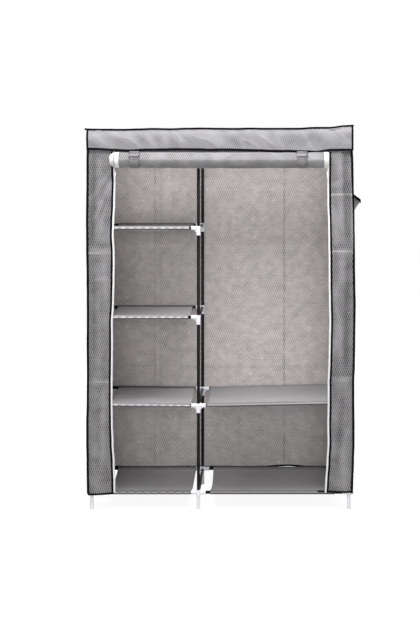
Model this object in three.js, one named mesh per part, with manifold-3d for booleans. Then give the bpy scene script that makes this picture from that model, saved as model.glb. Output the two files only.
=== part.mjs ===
// Portable fabric wardrobe: a steel tube frame in white plastic connectors, inside a sewn fabric cover with
// its door rolled up under the header. Millimetres, +X to the viewer's right, -Y to the viewer, +Z up.
// While it is built, X and Y are counted from the frame's own axes. The last lines move the group so that
// its origin is on the floor, under the middle of the whole object's box.
import * as THREE from 'three';
import { mergeVertices } from 'three/addons/utils/BufferGeometryUtils.js';
import Module from 'manifold-3d';

const wasm = await Module();
wasm.setup();

// Driving dimensions of the frame
const columnX = { left: -566, centre: -96, right: 567 };
const poleY = 205;
const rowY = { front: -poleY, back: poleY };
const levelZ = { base: 74, lower: 457, middle: 846, upper: 1239, top: 1650 };
const tubeRadius = 7;
const tubeBore = 6.4;
const tubeSides = 10;

// Plastic connectors
const socketRadius = 9.2;
const socketBore = 7.4;
const armLength = 32;
const armStop = 11;
const downSocket = 32;
const footRadius = 8;
const footCollar = 11;
const uprightSeat = 4;
const gussetWidth = 7;
const gussetRadius = 21;
const seatGap = 0.6;

// Sewn cover
const coverHalfWidth = 589;
const coverFrontY = -223;
const coverBackY = 222;
const coverBottomZ = 72;
const coverTopZ = 1672;
const clothThickness = 1.4;
const cornerRadius = 9;
const headerY = -226.3;
const headerBottomZ = 1579;
const hemLift = 8;
const foldRelief = 4;
const foldReach = 60;
const packedFoldZ = [564, 1134];
const capWave = 1.5;
const capWaveLength = 90;
const capSlack = 5;

// Inner edges of the two front strips, at the header and at the hem
const seamTopX = { left: -469, right: 479.5 };
const seamBottomX = { left: -469, right: 467 };
const seamTopZ = 1577;
const seamBottomZ = 76;

// Rolled door and its straps
const rollY = -263;
const rollZ = 1539;
const rollRadius = 37.5;
const rollTurns = 6;
const rollPitch = 4.2;
const rollCloth = 3.4;
const rollSteps = 14;
const rollLeftX = -464;
const rollRightX = 476;
const rollConeLength = 20;
const rollFallGap = 0.6;
const strapX = { left: -371, right: 358 };
const strapWidth = 44;
const strapThickness = 1.6;
const strapRadius = 38.9;
const strapTopY = -232.5;
const strapTurn = [105, 360];

// Zippers
const tapeWidth = 7.6;
const tapeThickness = 1.2;
const tapeGap = 0.5;
const coilRadius = 1.9;
const sliderZ = 1480;
const sliderHeight = 15;
const sliderWidth = 11.4;
const sliderDepth = 8.8;
const sliderChamfer = 2;
const earThickness = 1.2;
const earHeight = 3.2;
const earX = 3.1;
const pivotRadius = 0.9;
const pullPivotZ = 1482;
const pullPivotDrop = 3;
const pullLength = 22;
const pullThickness = 1.2;
const pullEyeRadius = 2.5;
const pullEyeBore = 1.4;
const pullEyeHalf = 1.7;

// Side pocket
const pocketHalfWidth = 165;
const pocketMouthZ = 1382;
const pocketBottomZ = 1050;
const pocketGape = 36;
const pocketDroop = 28;
const pocketStandOff = 2.6;

// Shelves: ends along X
const shelfSpan = {
  shelf_left_base: [-497, -130],
  shelf_left_lower: [-495, -132],
  shelf_left_middle: [-498, -142],
  shelf_left_upper: [-495, -136],
  shelf_right_base: [-43, 505],
  shelf_right_lower: [-58, 505],
};
const shelfSag = 20;
const sleeveRadius = 8.7;

// Materials
const blackSteel = new THREE.MeshStandardMaterial({ color: 0x17161a, roughness: 0.35, metalness: 0.3 });
const whitePlastic = new THREE.MeshStandardMaterial({ color: 0xf2f2f4, roughness: 0.4, metalness: 0 });
const coverCloth = new THREE.MeshStandardMaterial({ color: 0xa3a2a8, roughness: 0.9, metalness: 0 });
const backCloth = new THREE.MeshStandardMaterial({ color: 0xa9a49f, roughness: 0.95, metalness: 0 });
const shelfCloth = new THREE.MeshStandardMaterial({ color: 0x8d8c90, roughness: 0.9, metalness: 0 });
const zipperTape = new THREE.MeshStandardMaterial({ color: 0xf4f4f2, roughness: 0.7, metalness: 0 });
const sliderMetal = new THREE.MeshStandardMaterial({ color: 0xe6e6e8, roughness: 0.4, metalness: 0.4 });

const group = new THREE.Group();

function addMesh(name, geometry, material, x = 0, y = 0, z = 0) {
  const mesh = new THREE.Mesh(geometry, material);
  mesh.name = name;
  mesh.position.set(x, y, z);
  group.add(mesh);
  return mesh;
}

// Solids from closed meshes
function toSolid(geometry) {
  const bare = geometry.clone();
  bare.deleteAttribute('normal');
  bare.deleteAttribute('uv');
  const merged = mergeVertices(bare, 1e-4);
  return new wasm.Manifold(
    new wasm.Mesh({
      numProp: 3,
      vertProperties: new Float32Array(merged.attributes.position.array),
      triVerts: new Uint32Array(merged.index.array),
    })
  );
}

function toGeometry(solid) {
  const mesh = solid.getMesh();
  const geometry = new THREE.BufferGeometry();
  geometry.setAttribute('position', new THREE.BufferAttribute(new Float32Array(mesh.vertProperties), 3));
  geometry.setIndex(new THREE.BufferAttribute(new Uint32Array(mesh.triVerts), 1));
  geometry.computeVertexNormals();
  return geometry;
}

// A round bar of the given radius between two points of one axis ('x', 'y' or 'z')
function rod(axis, radius, from, to, centre = [0, 0, 0], sides = tubeSides) {
  const geometry = new THREE.CylinderGeometry(radius, radius, to - from, sides);
  geometry.translate(0, (from + to) / 2, 0);
  if (axis === 'x') geometry.rotateZ(-Math.PI / 2);
  if (axis === 'z') geometry.rotateX(Math.PI / 2);
  geometry.translate(centre[0], centre[1], centre[2]);
  return toSolid(geometry);
}

function joined(solids) {
  return solids.reduce((whole, next) => whole.add(next));
}

function cut(solid, holes) {
  return holes.reduce((rest, hole) => rest.subtract(hole), solid);
}

// A steel tube, open at both ends
function tube(axis, from, to) {
  return toGeometry(cut(rod(axis, tubeRadius, from, to), [rod(axis, tubeBore, from - 1, to + 1)]));
}

// The web between a connector's sideways arm and its downward socket, with a hollow quarter-round edge
function gusset(direction) {
  const near = socketRadius - 2;
  const far = near + gussetRadius;
  const shape = new THREE.Shape();
  shape.moveTo(near, -near);
  shape.lineTo(far, -near);
  shape.absarc(far, -far, gussetRadius, Math.PI / 2, Math.PI, false);
  shape.lineTo(near, -near);
  const geometry = new THREE.ExtrudeGeometry(shape, { depth: gussetWidth, bevelEnabled: false, curveSegments: 4 });
  geometry.translate(0, 0, -gussetWidth / 2);
  geometry.rotateX(Math.PI / 2);
  if (direction === 'left') geometry.rotateZ(Math.PI);
  return toSolid(geometry);
}

const armAxis = { left: ['x', -1], right: ['x', 1], front: ['y', -1], back: ['y', 1] };

// One connector, centred where its bars' axes meet. kind: 'base' stands on its foot, 'through' lets the
// upright pass, 'top' closes the upright off. through names the axis of a bar that runs on through it.
function connectorBody(kind, arms, gussets) {
  const bottom = kind === 'base' ? -footCollar : -downSocket;
  const top = kind === 'base' ? footCollar : socketRadius;
  const pieces = [rod('z', socketRadius, bottom, top)];
  if (kind === 'base') pieces.push(rod('z', footRadius, -levelZ.base, 0));
  for (const arm of arms) {
    const [axis, sign] = armAxis[arm];
    pieces.push(rod(axis, socketRadius, Math.min(0, sign * armLength), Math.max(0, sign * armLength)));
  }
  for (const direction of gussets) pieces.push(gusset(direction));
  return joined(pieces);
}

function connectorBores(kind, arms, through) {
  const bottom = kind === 'base' ? -uprightSeat : -downSocket - 1;
  const top = kind === 'top' ? -socketBore - 1 : socketRadius + footCollar;
  const holes = [rod('z', socketBore, bottom, top)];
  for (const arm of arms) {
    const [axis, sign] = armAxis[arm];
    const inner = axis === through ? -1 : armStop;
    const ends = [sign * inner, sign * (armLength + 1)].sort((a, b) => a - b);
    holes.push(rod(axis, socketBore, ends[0], ends[1]));
  }
  return holes;
}

// A connector alone
function connector(arms, gussets) {
  return toGeometry(cut(connectorBody('through', arms, gussets), connectorBores('through', arms, null)));
}

// A depth bar with the front and back connectors it is pushed into. sideArms are the arms along X.
function rail(kind, sideArms, gussets) {
  const through = kind === 'top' ? 'x' : null;
  const frontBody = connectorBody(kind, [...sideArms, 'back'], gussets).translate([0, rowY.front, 0]);
  const backBody = connectorBody(kind, [...sideArms, 'front'], gussets).translate([0, rowY.back, 0]);
  const bar = rod('y', tubeRadius, rowY.front, rowY.back);
  const holes = [rod('y', tubeBore, rowY.front, rowY.back)];
  for (const y of [rowY.front, rowY.back]) {
    for (const hole of connectorBores(kind, sideArms, through)) holes.push(hole.translate([0, y, 0]));
  }
  return toGeometry(cut(joined([frontBody, backBody, bar]), holes));
}

// Frame: rails, connectors and crossbars
for (const level of ['base', 'lower', 'middle', 'upper', 'top']) {
  const kind = { base: 'base', top: 'top' }[level] ?? 'through';
  addMesh(`rail_left_${level}`, rail(kind, ['right'], []), whitePlastic, columnX.left, 0, levelZ[level]);
}
for (const level of ['base', 'lower', 'top']) {
  const kind = { base: 'base', top: 'top' }[level] ?? 'through';
  addMesh(`rail_right_${level}`, rail(kind, ['left'], []), whitePlastic, columnX.right, 0, levelZ[level]);
}
for (const level of ['base', 'top']) {
  const sides = ['left', 'right'];
  addMesh(`rail_centre_${level}`, rail(level, sides, []), whitePlastic, columnX.centre, 0, levelZ[level]);
}
const crossbar = tube('y', rowY.front + armStop + seatGap, rowY.back - armStop - seatGap);
for (const level of ['lower', 'middle', 'upper']) {
  const sides = level === 'lower' ? ['left', 'right'] : ['left'];
  const x = columnX.centre;
  const z = levelZ[level];
  addMesh(`crossbar_${level}`, crossbar, blackSteel, x, 0, z);
  addMesh(`connector_${level}_front`, connector([...sides, 'back'], sides), whitePlastic, x, rowY.front, z);
  addMesh(`connector_${level}_back`, connector([...sides, 'front'], sides), whitePlastic, x, rowY.back, z);
}

// Frame: uprights, from their seats in the base connectors to just under the top bars
const uprightFoot = levelZ.base - uprightSeat + seatGap;
const uprightHead = levelZ.top - socketBore - 1 - seatGap;
const upright = tube('z', uprightFoot, uprightHead);
for (const column of ['left', 'centre', 'right']) {
  for (const row of ['front', 'back']) {
    addMesh(`upright_${column}_${row}`, upright, blackSteel, columnX[column], rowY[row], 0);
  }
}

// Frame: front and back bars, from socket to socket
const barInset = armStop + seatGap;
const leftBar = tube('x', columnX.left + barInset, columnX.centre - barInset);
const rightBar = tube('x', columnX.centre + barInset, columnX.right - barInset);
const topBar = tube('x', columnX.left + seatGap, columnX.right - seatGap);
for (const row of ['front', 'back']) {
  for (const level of ['base', 'lower', 'middle', 'upper']) {
    addMesh(`bar_left_${level}_${row}`, leftBar, blackSteel, 0, rowY[row], levelZ[level]);
  }
  for (const level of ['base', 'lower']) {
    addMesh(`bar_right_${level}_${row}`, rightBar, blackSteel, 0, rowY[row], levelZ[level]);
  }
  addMesh(`bar_top_${row}`, topBar, blackSteel, 0, rowY[row], levelZ.top);
}

// Frame: the hanging rod of the right bay, with a ring at each end round a top depth bar
const ringHalf = 14;
const hangingRod = cut(
  joined([
    rod('x', tubeRadius, columnX.centre, columnX.right),
    rod('y', socketRadius, -ringHalf, ringHalf, [columnX.centre, 0, 0]),
    rod('y', socketRadius, -ringHalf, ringHalf, [columnX.right, 0, 0]),
  ]),
  [
    rod('x', tubeBore, columnX.centre, columnX.right),
    rod('y', socketBore, -ringHalf - 1, ringHalf + 1, [columnX.centre, 0, 0]),
    rod('y', socketBore, -ringHalf - 1, ringHalf + 1, [columnX.right, 0, 0]),
  ]
);
addMesh('hanging_rod', toGeometry(hangingRod), blackSteel, 0, 0, levelZ.top);

// Cloth: a closed solid of even thickness about a grid of points. grid[i][j] is a Vector3.
function clothGeometry(grid, thickness) {
  const rows = grid.length;
  const columns = grid[0].length;
  const positions = [];
  for (const side of [1, -1]) {
    for (let i = 0; i < rows; i += 1) {
      for (let j = 0; j < columns; j += 1) {
        const along = grid[Math.min(i + 1, rows - 1)][j].clone().sub(grid[Math.max(i - 1, 0)][j]);
        const across = grid[i][Math.min(j + 1, columns - 1)].clone().sub(grid[i][Math.max(j - 1, 0)]);
        const normal = along.cross(across).normalize();
        const point = grid[i][j].clone().addScaledVector(normal, (side * thickness) / 2);
        positions.push(point.x, point.y, point.z);
      }
    }
  }
  const upper = (i, j) => i * columns + j;
  const lower = (i, j) => rows * columns + i * columns + j;
  const faces = [];
  const quad = (a, b, c, d) => faces.push(a, b, c, a, c, d);
  for (let i = 0; i < rows - 1; i += 1) {
    for (let j = 0; j < columns - 1; j += 1) {
      quad(upper(i, j), upper(i + 1, j), upper(i + 1, j + 1), upper(i, j + 1));
      quad(lower(i, j), lower(i, j + 1), lower(i + 1, j + 1), lower(i + 1, j));
    }
    quad(upper(i, 0), lower(i, 0), lower(i + 1, 0), upper(i + 1, 0));
    quad(upper(i + 1, columns - 1), lower(i + 1, columns - 1), lower(i, columns - 1), upper(i, columns - 1));
  }
  for (let j = 0; j < columns - 1; j += 1) {
    quad(upper(0, j + 1), lower(0, j + 1), lower(0, j), upper(0, j));
    quad(upper(rows - 1, j), lower(rows - 1, j), lower(rows - 1, j + 1), upper(rows - 1, j + 1));
  }
  const geometry = new THREE.BufferGeometry();
  geometry.setAttribute('position', new THREE.BufferAttribute(new Float32Array(positions), 3));
  geometry.setIndex(faces);
  geometry.computeVertexNormals();
  return geometry;
}

// Values from a to b in the given number of steps
function spread(a, b, steps) {
  return Array.from({ length: steps + 1 }, (_, k) => a + ((b - a) * k) / steps);
}

// A crease left by the cover's packing: a low ridge that fades away from its line
function crease(distance) {
  return foldRelief * Math.exp(-((distance / foldReach) ** 2));
}

function packedFolds(z) {
  return crease(z - packedFoldZ[0]) - crease(z - packedFoldZ[1]);
}

// Heights of the panels' rows of points: the hem, both packed folds, the top, and the middles between them
const rowLines = [coverBottomZ + hemLift, ...packedFoldZ, coverTopZ - cornerRadius];
const panelRows = rowLines.flatMap((z, k) => (k === 0 ? [z] : [(rowLines[k - 1] + z) / 2, z]));

// Cover: the back panel, creased in quarters
const backHalfWidth = coverHalfWidth - 3;
const backColumns = spread(-backHalfWidth, backHalfWidth, 8);
const quarterX = backHalfWidth / 2;
const backGrid = panelRows.map((z) =>
  backColumns.map((x) => {
    const upright = crease(x - quarterX) + crease(x + quarterX) - crease(x);
    const edge = 1 - (x / backHalfWidth) ** 8;
    const relief = (Math.abs(packedFolds(z)) + Math.max(upright, 0)) * edge;
    return new THREE.Vector3(x, coverBackY - relief / 2, z);
  })
);
addMesh('cover_back', clothGeometry(backGrid, clothThickness), backCloth);

// X of a front strip's inner edge at a height
function seamX(side, z) {
  const t = (z - seamBottomZ) / (seamTopZ - seamBottomZ);
  return seamBottomX[side] + (seamTopX[side] - seamBottomX[side]) * t;
}

// Cover: a side panel that turns the front corner and ends at the front strip's inner edge
function sideGrid(side) {
  const sign = side === 'left' ? -1 : 1;
  const outerX = sign * coverHalfWidth;
  const rows = [coverBottomZ, ...panelRows.slice(1)];
  return rows.map((z) => {
    const line = [];
    for (const y of spread(coverBackY - 3, coverFrontY + cornerRadius, 5)) {
      const swell = Math.cos((Math.PI * y) / (coverBackY - coverFrontY)) ** 2;
      line.push(new THREE.Vector3(outerX - sign * Math.abs(packedFolds(z)) * swell, y, z));
    }
    for (const angle of [30, 60]) {
      const turn = THREE.MathUtils.degToRad(angle);
      const x = outerX - sign * cornerRadius * (1 - Math.cos(turn));
      line.push(new THREE.Vector3(x, coverFrontY + cornerRadius * (1 - Math.sin(turn)), z));
    }
    const innerX = seamX(side, Math.min(z, seamTopZ));
    for (const x of spread(outerX - sign * cornerRadius, innerX, 3)) {
      const rise = z === rows[0] ? (6 * (outerX - x)) / (outerX - innerX) : 0;
      line.push(new THREE.Vector3(x, coverFrontY, z + rise));
    }
    return line;
  });
}
addMesh('cover_left', clothGeometry(sideGrid('left'), clothThickness), coverCloth);
addMesh('cover_right', clothGeometry(sideGrid('right'), clothThickness), coverCloth);

// Cover: the cap, a top panel that turns down into the front header
const capHalfWidth = coverHalfWidth - 1;
const capGrid = spread(-capHalfWidth, capHalfWidth, 10).map((x) => {
  const wave = capWave * Math.sin(x / capWaveLength);
  const line = [];
  for (const y of spread(coverBackY - 1, headerY + cornerRadius, 3)) {
    const slack = capSlack * Math.cos((Math.PI * y) / (coverBackY - headerY)) * (1 - (x / capHalfWidth) ** 2);
    line.push(new THREE.Vector3(x, y, coverTopZ + wave - slack));
  }
  for (const angle of [30, 60]) {
    const turn = THREE.MathUtils.degToRad(angle);
    const y = headerY + cornerRadius * (1 - Math.sin(turn));
    line.push(new THREE.Vector3(x, y, coverTopZ + wave - cornerRadius * (1 - Math.cos(turn))));
  }
  for (const z of spread(coverTopZ - cornerRadius, headerBottomZ, 2)) {
    line.push(new THREE.Vector3(x, headerY, z));
  }
  return line;
});
addMesh('cover_cap', clothGeometry(capGrid, clothThickness), coverCloth);

// Side pocket on the right panel, sewn down on three sides, its mouth gaping and drooping in the middle
const pocketGrid = [0, 0.3, 0.55, 0.75, 0.9, 1].map((up) =>
  spread(-1, 1, 8).map((across) => {
    const middle = (1 - across * across) ** 0.8;
    const gape = pocketGape * middle * (0.12 * up + 0.88 * up ** 5);
    const droop = pocketDroop * middle * up ** 4;
    const z = pocketBottomZ + (pocketMouthZ - pocketBottomZ) * up - droop;
    return new THREE.Vector3(coverHalfWidth + pocketStandOff + gape, across * pocketHalfWidth, z);
  })
);
addMesh('side_pocket', clothGeometry(pocketGrid, clothThickness), coverCloth);

// The rolled door: a short fall of cloth from the header seam, then a spiral from its outermost turn in.
// The turns step out at the left end, which makes the roll's cone.
const rollMiddle = rollRadius - rollCloth / 2;
const rollPath = [
  [rollY + rollMiddle + rollFallGap, seamTopZ, 0],
  [rollY + rollMiddle + rollFallGap / 2, (seamTopZ + rollZ) / 2, 0],
];
for (let k = 0; k <= rollTurns * rollSteps; k += 1) {
  const turns = k / rollSteps;
  const angle = -turns * 2 * Math.PI;
  const radius = rollMiddle - rollPitch * turns;
  rollPath.push([rollY + radius * Math.cos(angle), rollZ + radius * Math.sin(angle), turns / rollTurns]);
}
const rollGrid = rollPath.map(([y, z, inward]) => {
  const left = rollLeftX - rollConeLength * inward;
  return spread(left, rollRightX, 1).map((x) => new THREE.Vector3(x, y, z));
});
addMesh('rolled_door', clothGeometry(rollGrid, rollCloth), coverCloth);

// The two straps that hold the roll: over its front, round under it and up its back
function strapGeometry(centreX) {
  const path = [[strapTopY, seamTopZ + rollFallGap]];
  for (const angle of spread(...strapTurn, 10)) {
    const turn = THREE.MathUtils.degToRad(angle);
    path.push([rollY + strapRadius * Math.cos(turn), rollZ + strapRadius * Math.sin(turn)]);
  }
  path.push([rollY + strapRadius, seamTopZ - 6]);
  const ends = [centreX - strapWidth / 2, centreX + strapWidth / 2];
  const grid = path.map(([y, z]) => ends.map((x) => new THREE.Vector3(x, y, z)));
  return clothGeometry(grid, strapThickness);
}
for (const side of ['left', 'right']) addMesh(`roll_strap_${side}`, strapGeometry(strapX[side]), coverCloth);

// Zippers: tape with its coil along the free edge. towardsDoor is +1 on the left strip, -1 on the right.
function zipperGeometry(side) {
  const towardsDoor = side === 'left' ? 1 : -1;
  const half = tapeThickness / 2;
  const reach = tapeWidth - coilRadius;
  const outline = [[0, -half], [reach - coilRadius, -half]];
  for (let k = 0; k <= 6; k += 1) {
    const turn = THREE.MathUtils.degToRad(-150 + 50 * k);
    outline.push([reach + coilRadius * Math.cos(turn), coilRadius * Math.sin(turn)]);
  }
  outline.push([reach - coilRadius, half], [0, half]);
  const section = new THREE.Shape(outline.map(([x, y]) => new THREE.Vector2(towardsDoor * (tapeGap + x), y)));
  const geometry = new THREE.ExtrudeGeometry(section, { depth: 1, bevelEnabled: false });
  const position = geometry.attributes.position;
  for (let k = 0; k < position.count; k += 1) {
    const z = position.getZ(k) > 0.5 ? seamTopZ - 1 : seamBottomZ;
    position.setXYZ(k, seamX(side, z) + position.getX(k), coverFrontY + position.getY(k), z);
  }
  return toSolid(geometry);
}

// A slider, centred on the coil, and the bar that its pull hangs on
const channelRadius = coilRadius + 0.6;
const slotHalf = tapeThickness / 2 + 0.6;
const pivotY = -sliderDepth / 2 - pullPivotDrop;
function box(width, depth, height, x, y, z) {
  const geometry = new THREE.BoxGeometry(width, depth, height);
  geometry.translate(x, y, z);
  return toSolid(geometry);
}

// A flat outline that is the same on both sides of its middle line, from the points of its right side
function mirrored(rightSide) {
  const leftSide = rightSide.map(([x, z]) => [-x, z]).reverse();
  return new THREE.Shape([...rightSide, ...leftSide].map(([x, z]) => new THREE.Vector2(x, z)));
}

function sliderGeometry(towardsDoor) {
  const half = sliderWidth / 2;
  const shell = mirrored([
    [half - sliderChamfer, -sliderHeight / 2],
    [half, -sliderChamfer / 2],
    [half, sliderHeight / 2 - sliderChamfer],
    [half - sliderChamfer, sliderHeight / 2],
  ]);
  const plate = new THREE.ExtrudeGeometry(shell, { depth: sliderDepth, bevelEnabled: false });
  plate.rotateX(Math.PI / 2);
  plate.translate(0, sliderDepth / 2, 0);
  const barZ = pullPivotZ - sliderZ;
  const earDepth = pullPivotDrop + earHeight / 2;
  const earY = -(sliderDepth + earDepth) / 2 + 0.2;
  const body = joined([
    toSolid(plate),
    box(earThickness, earDepth, earHeight, -earX, earY, barZ),
    box(earThickness, earDepth, earHeight, earX, earY, barZ),
    rod('x', pivotRadius, -earX, earX, [0, pivotY, barZ], 8),
  ]);
  const channel = rod('z', channelRadius, -sliderHeight, sliderHeight, [0, 0, 0], 8);
  const slot = box(sliderWidth, slotHalf * 2, sliderHeight * 2, (-towardsDoor * sliderWidth) / 2, 0, 0);
  return cut(body, [channel, slot]);
}

// A pull: an eye round the slider's bar and a tapered tongue hanging from it
function pullGeometry() {
  const tongue = mirrored([
    [1.8, -pullLength],
    [3.3, -pullLength + 2],
    [3.1, -8],
    [pullEyeHalf, -5],
    [pullEyeHalf, -1.6],
  ]);
  const plate = new THREE.ExtrudeGeometry(tongue, { depth: pullThickness, bevelEnabled: false });
  plate.translate(0, 0, -pullThickness / 2);
  plate.rotateX(Math.PI / 2);
  const eye = rod('x', pullEyeRadius, -pullEyeHalf, pullEyeHalf);
  const bore = rod('x', pullEyeBore, -pullEyeHalf - 1, pullEyeHalf + 1);
  return toGeometry(cut(joined([toSolid(plate), eye]), [bore]));
}

for (const side of ['left', 'right']) {
  const towardsDoor = side === 'left' ? 1 : -1;
  const coilOffset = towardsDoor * (tapeGap + tapeWidth - coilRadius);
  const lean = Math.atan2(seamTopX[side] - seamBottomX[side], seamTopZ - seamBottomZ);
  const sliderX = seamX(side, sliderZ) + coilOffset;
  const sliderShape = toGeometry(sliderGeometry(towardsDoor));
  addMesh(`zipper_${side}`, toGeometry(zipperGeometry(side)), zipperTape);
  const slider = addMesh(`zip_slider_${side}`, sliderShape, sliderMetal, sliderX, coverFrontY, sliderZ);
  slider.rotation.y = lean;
  const pullX = seamX(side, pullPivotZ) + coilOffset;
  addMesh(`zip_pull_${side}`, pullGeometry(), sliderMetal, pullX, coverFrontY + pivotY, pullPivotZ);
}

// Shelves: a sleeve round the front bar, a sagging sheet, and a sleeve round the back bar. The tail is where
// a sleeve's cloth is sewn back under the sheet.
function shelfGeometry([fromX, toX]) {
  const tail = [[20, 0.4], [15, -3.4]];
  const arc = spread(300, 60, 6);
  const sheet = [0.86, 0.55, 0.2, -0.2, -0.55, -0.86];
  const edgeY = poleY - sleeveRadius * Math.cos(Math.PI / 3);
  const edgeZ = sleeveRadius * Math.sin(Math.PI / 3);
  const grid = spread(0, 1, 3).map((t) => {
    const x = fromX + (toX - fromX) * t;
    const sag = shelfSag * (0.8 + 0.2 * Math.sin(Math.PI * t));
    const front = [
      ...tail.map(([inward, z]) => [-poleY + inward, z]),
      ...arc.map((angle) => {
        const turn = THREE.MathUtils.degToRad(angle);
        return [-poleY + sleeveRadius * Math.cos(turn), sleeveRadius * Math.sin(turn)];
      }),
    ];
    const back = front.map(([y, z]) => [-y, z]).reverse();
    const middle = sheet.map((s) => [-s * edgeY, edgeZ - (edgeZ + sag) * (1 - s * s)]);
    return [...front, ...middle, ...back].map(([y, z]) => new THREE.Vector3(x, y, z));
  });
  return clothGeometry(grid, clothThickness);
}
for (const [name, span] of Object.entries(shelfSpan)) {
  const level = name.split('_')[2];
  addMesh(name, shelfGeometry(span), shelfCloth, 0, 0, levelZ[level]);
}

// The origin: on the floor, under the middle of the box round the whole object
group.updateMatrixWorld(true);
const bounds = new THREE.Box3().setFromObject(group, true);
const middle = bounds.getCenter(new THREE.Vector3());
group.position.set(-middle.x, -middle.y, 0);

export default group;
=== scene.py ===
"""A portable fabric wardrobe: its cloth, bindings, zippers, tubes and connectors, built around the frame.

Metres, +Z up, -Y to the viewer. Places come from the frame's own nodes, and sizes are named below.
"""

import math

import bmesh
import bpy
import mathutils
import numpy as np
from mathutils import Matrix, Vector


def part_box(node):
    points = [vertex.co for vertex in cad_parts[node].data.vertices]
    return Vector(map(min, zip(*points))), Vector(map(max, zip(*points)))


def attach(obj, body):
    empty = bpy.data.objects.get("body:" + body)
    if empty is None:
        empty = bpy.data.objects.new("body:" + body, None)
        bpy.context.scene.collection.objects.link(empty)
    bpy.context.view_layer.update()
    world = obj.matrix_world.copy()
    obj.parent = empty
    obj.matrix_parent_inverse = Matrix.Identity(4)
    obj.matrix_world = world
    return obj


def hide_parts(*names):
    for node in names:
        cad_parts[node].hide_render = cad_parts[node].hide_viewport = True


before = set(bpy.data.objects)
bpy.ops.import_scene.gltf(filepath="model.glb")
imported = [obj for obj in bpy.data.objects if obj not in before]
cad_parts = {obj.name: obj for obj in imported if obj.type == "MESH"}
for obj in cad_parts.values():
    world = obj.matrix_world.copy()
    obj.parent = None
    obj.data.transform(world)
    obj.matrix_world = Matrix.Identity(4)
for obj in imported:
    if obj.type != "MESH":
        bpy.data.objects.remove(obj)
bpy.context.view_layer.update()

MM = 0.001
ROWS = ("front", "back")
SIDES = ("left", "right")
LEVELS = ("base", "lower", "middle", "upper", "top")
# The levels that only the left bay has
LEFT_LEVELS = ("middle", "upper")
WARDROBE = "wardrobe"


def mm(points):
    """Points given in millimetres, in metres."""
    return np.array(points, float) * MM


def centre_of(node):
    low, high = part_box(node)
    return (low + high) / 2


# Places of the tube frame, from its nodes
column_x = {column: centre_of(f"upright_{column}_front").x for column in ("left", "centre", "right")}
row_y = {row: centre_of(f"upright_left_{row}").y for row in ROWS}
level_z = {level: centre_of(f"bar_left_{level}_front").z for level in LEVELS[:-1]}
level_z["top"] = centre_of("bar_top_front").z

# Steel tubes and plastic connectors
TUBE_RADIUS = 7 * MM
TUBE_BORE = 6.2 * MM
TUBE_LIP = 0.4 * MM
# How far a depth tube's end stands from the axis of its row
DEPTH_TUBE_SEAT = 11.6 * MM
SOCKET_RADIUS = 9.2 * MM
SOCKET_BORE = 7.4 * MM
RIM_RADIUS = 9.9 * MM
RIM_LENGTH = 3.5 * MM
CHAMFER = 0.5 * MM
ARM_LENGTH = 32 * MM
# Half the base connector's upright socket, which is also where the arms' bores stop
STUB_HALF = 11 * MM
# Where the upright bore of each kind of connector starts and ends
BORE_REACH = {"base": (-4 * MM, 12 * MM), "through": (-33 * MM, 10 * MM), "top": (-33 * MM, -8 * MM)}
FOOT_RADIUS = 7.9 * MM
FOOT_FLARE = 0.9 * MM
FOOT_EDGE = 0.8 * MM
GUSSET_RADIUS = 21 * MM
GUSSET_HALF = 3.2 * MM
GUSSET_STEPS = 10
# The share of its radius at which the web's hollow edge runs
GUSSET_HOLLOW = 0.98
COUPLER_HALF = 22 * MM
ROD_RING_HALF = 14 * MM

# Places of the cover, from its nodes. The frame's cloth solids are 1.4 mm thick.
SOLID_HALF = 0.7 * MM
left_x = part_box("cover_left")[0].x + SOLID_HALF
right_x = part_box("cover_right")[1].x - SOLID_HALF
front_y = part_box("cover_left")[0].y + SOLID_HALF
back_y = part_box("cover_back")[1].y - SOLID_HALF
hem_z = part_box("cover_left")[0].z
header_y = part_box("cover_cap")[0].y + SOLID_HALF
header_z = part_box("cover_cap")[0].z
seam_top_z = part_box("rolled_door")[1].z
TOP_Z = 1672 * MM
corner_x = {"left": left_x, "right": right_x}
outward = {"left": -1, "right": 1}
# The seams of the front strips run about straight between two heights
SEAM_Z = (76 * MM, 1577 * MM)
SEAM_TOP_X = {"left": -488.25 * MM, "right": 460.25 * MM}
SEAM_BOTTOM_X = {"left": -488.25 * MM, "right": 447.75 * MM}

CLOTH = 0.7 * MM
BINDING_WIDTH = 9 * MM
BINDING_THICKNESS = 3.0 * MM


# Curves and relief

def eased(points, place):
    """The value at a place, easing from point to point of a list of (place, value), both in millimetres."""
    places, values = mm(points).T
    place = np.asarray(place, float)
    k = np.clip(np.searchsorted(places, place) - 1, 0, len(places) - 2)
    t = np.clip((place - places[k]) / (places[k + 1] - places[k]), 0, 1)
    return values[k] + (values[k + 1] - values[k]) * t * t * (3 - 2 * t)


# The lattice behind soft_noise, and where on it the noise starts
LATTICE = (61, 59)
LATTICE_START = (17.3, 11.7)


def soft_noise(u, v, across, along, seed):
    """Smooth noise from -1 to 1, whose features are about across wide and along long."""
    lattice = np.random.default_rng(seed).uniform(-1, 1, LATTICE)
    x = np.asarray(u, float) / across + LATTICE_START[0]
    y = np.asarray(v, float) / along + LATTICE_START[1]
    i, j = np.floor(x).astype(int), np.floor(y).astype(int)
    fx, fy = x - i, y - j
    sx, sy = fx * fx * (3 - 2 * fx), fy * fy * (3 - 2 * fy)

    def line(step):
        here, after = (lattice[k % LATTICE[0], step % LATTICE[1]] for k in (i, i + 1))
        return here * (1 - sx) + after * sx

    return line(j) * (1 - sy) + line(j + 1) * sy


def crumple(u, v, size, seed):
    """Thin crests such as crumpled cloth has, from 0 to 1."""
    bent_u = u + 0.3 * size * soft_noise(u, v, size * 1.7, size * 1.7, seed + 1)
    return (1 - np.abs(soft_noise(bent_u, v, size, size * 1.3, seed))) ** 4


def ridge(distance, width):
    """A sharp ridge along a line, 1 at the line and fading over width."""
    return np.exp(-np.abs(distance) / width)


def swell(distance, width):
    """A soft swell along a line, 1 at the line and fading over width."""
    return np.exp(-(distance / width) ** 2)


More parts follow.
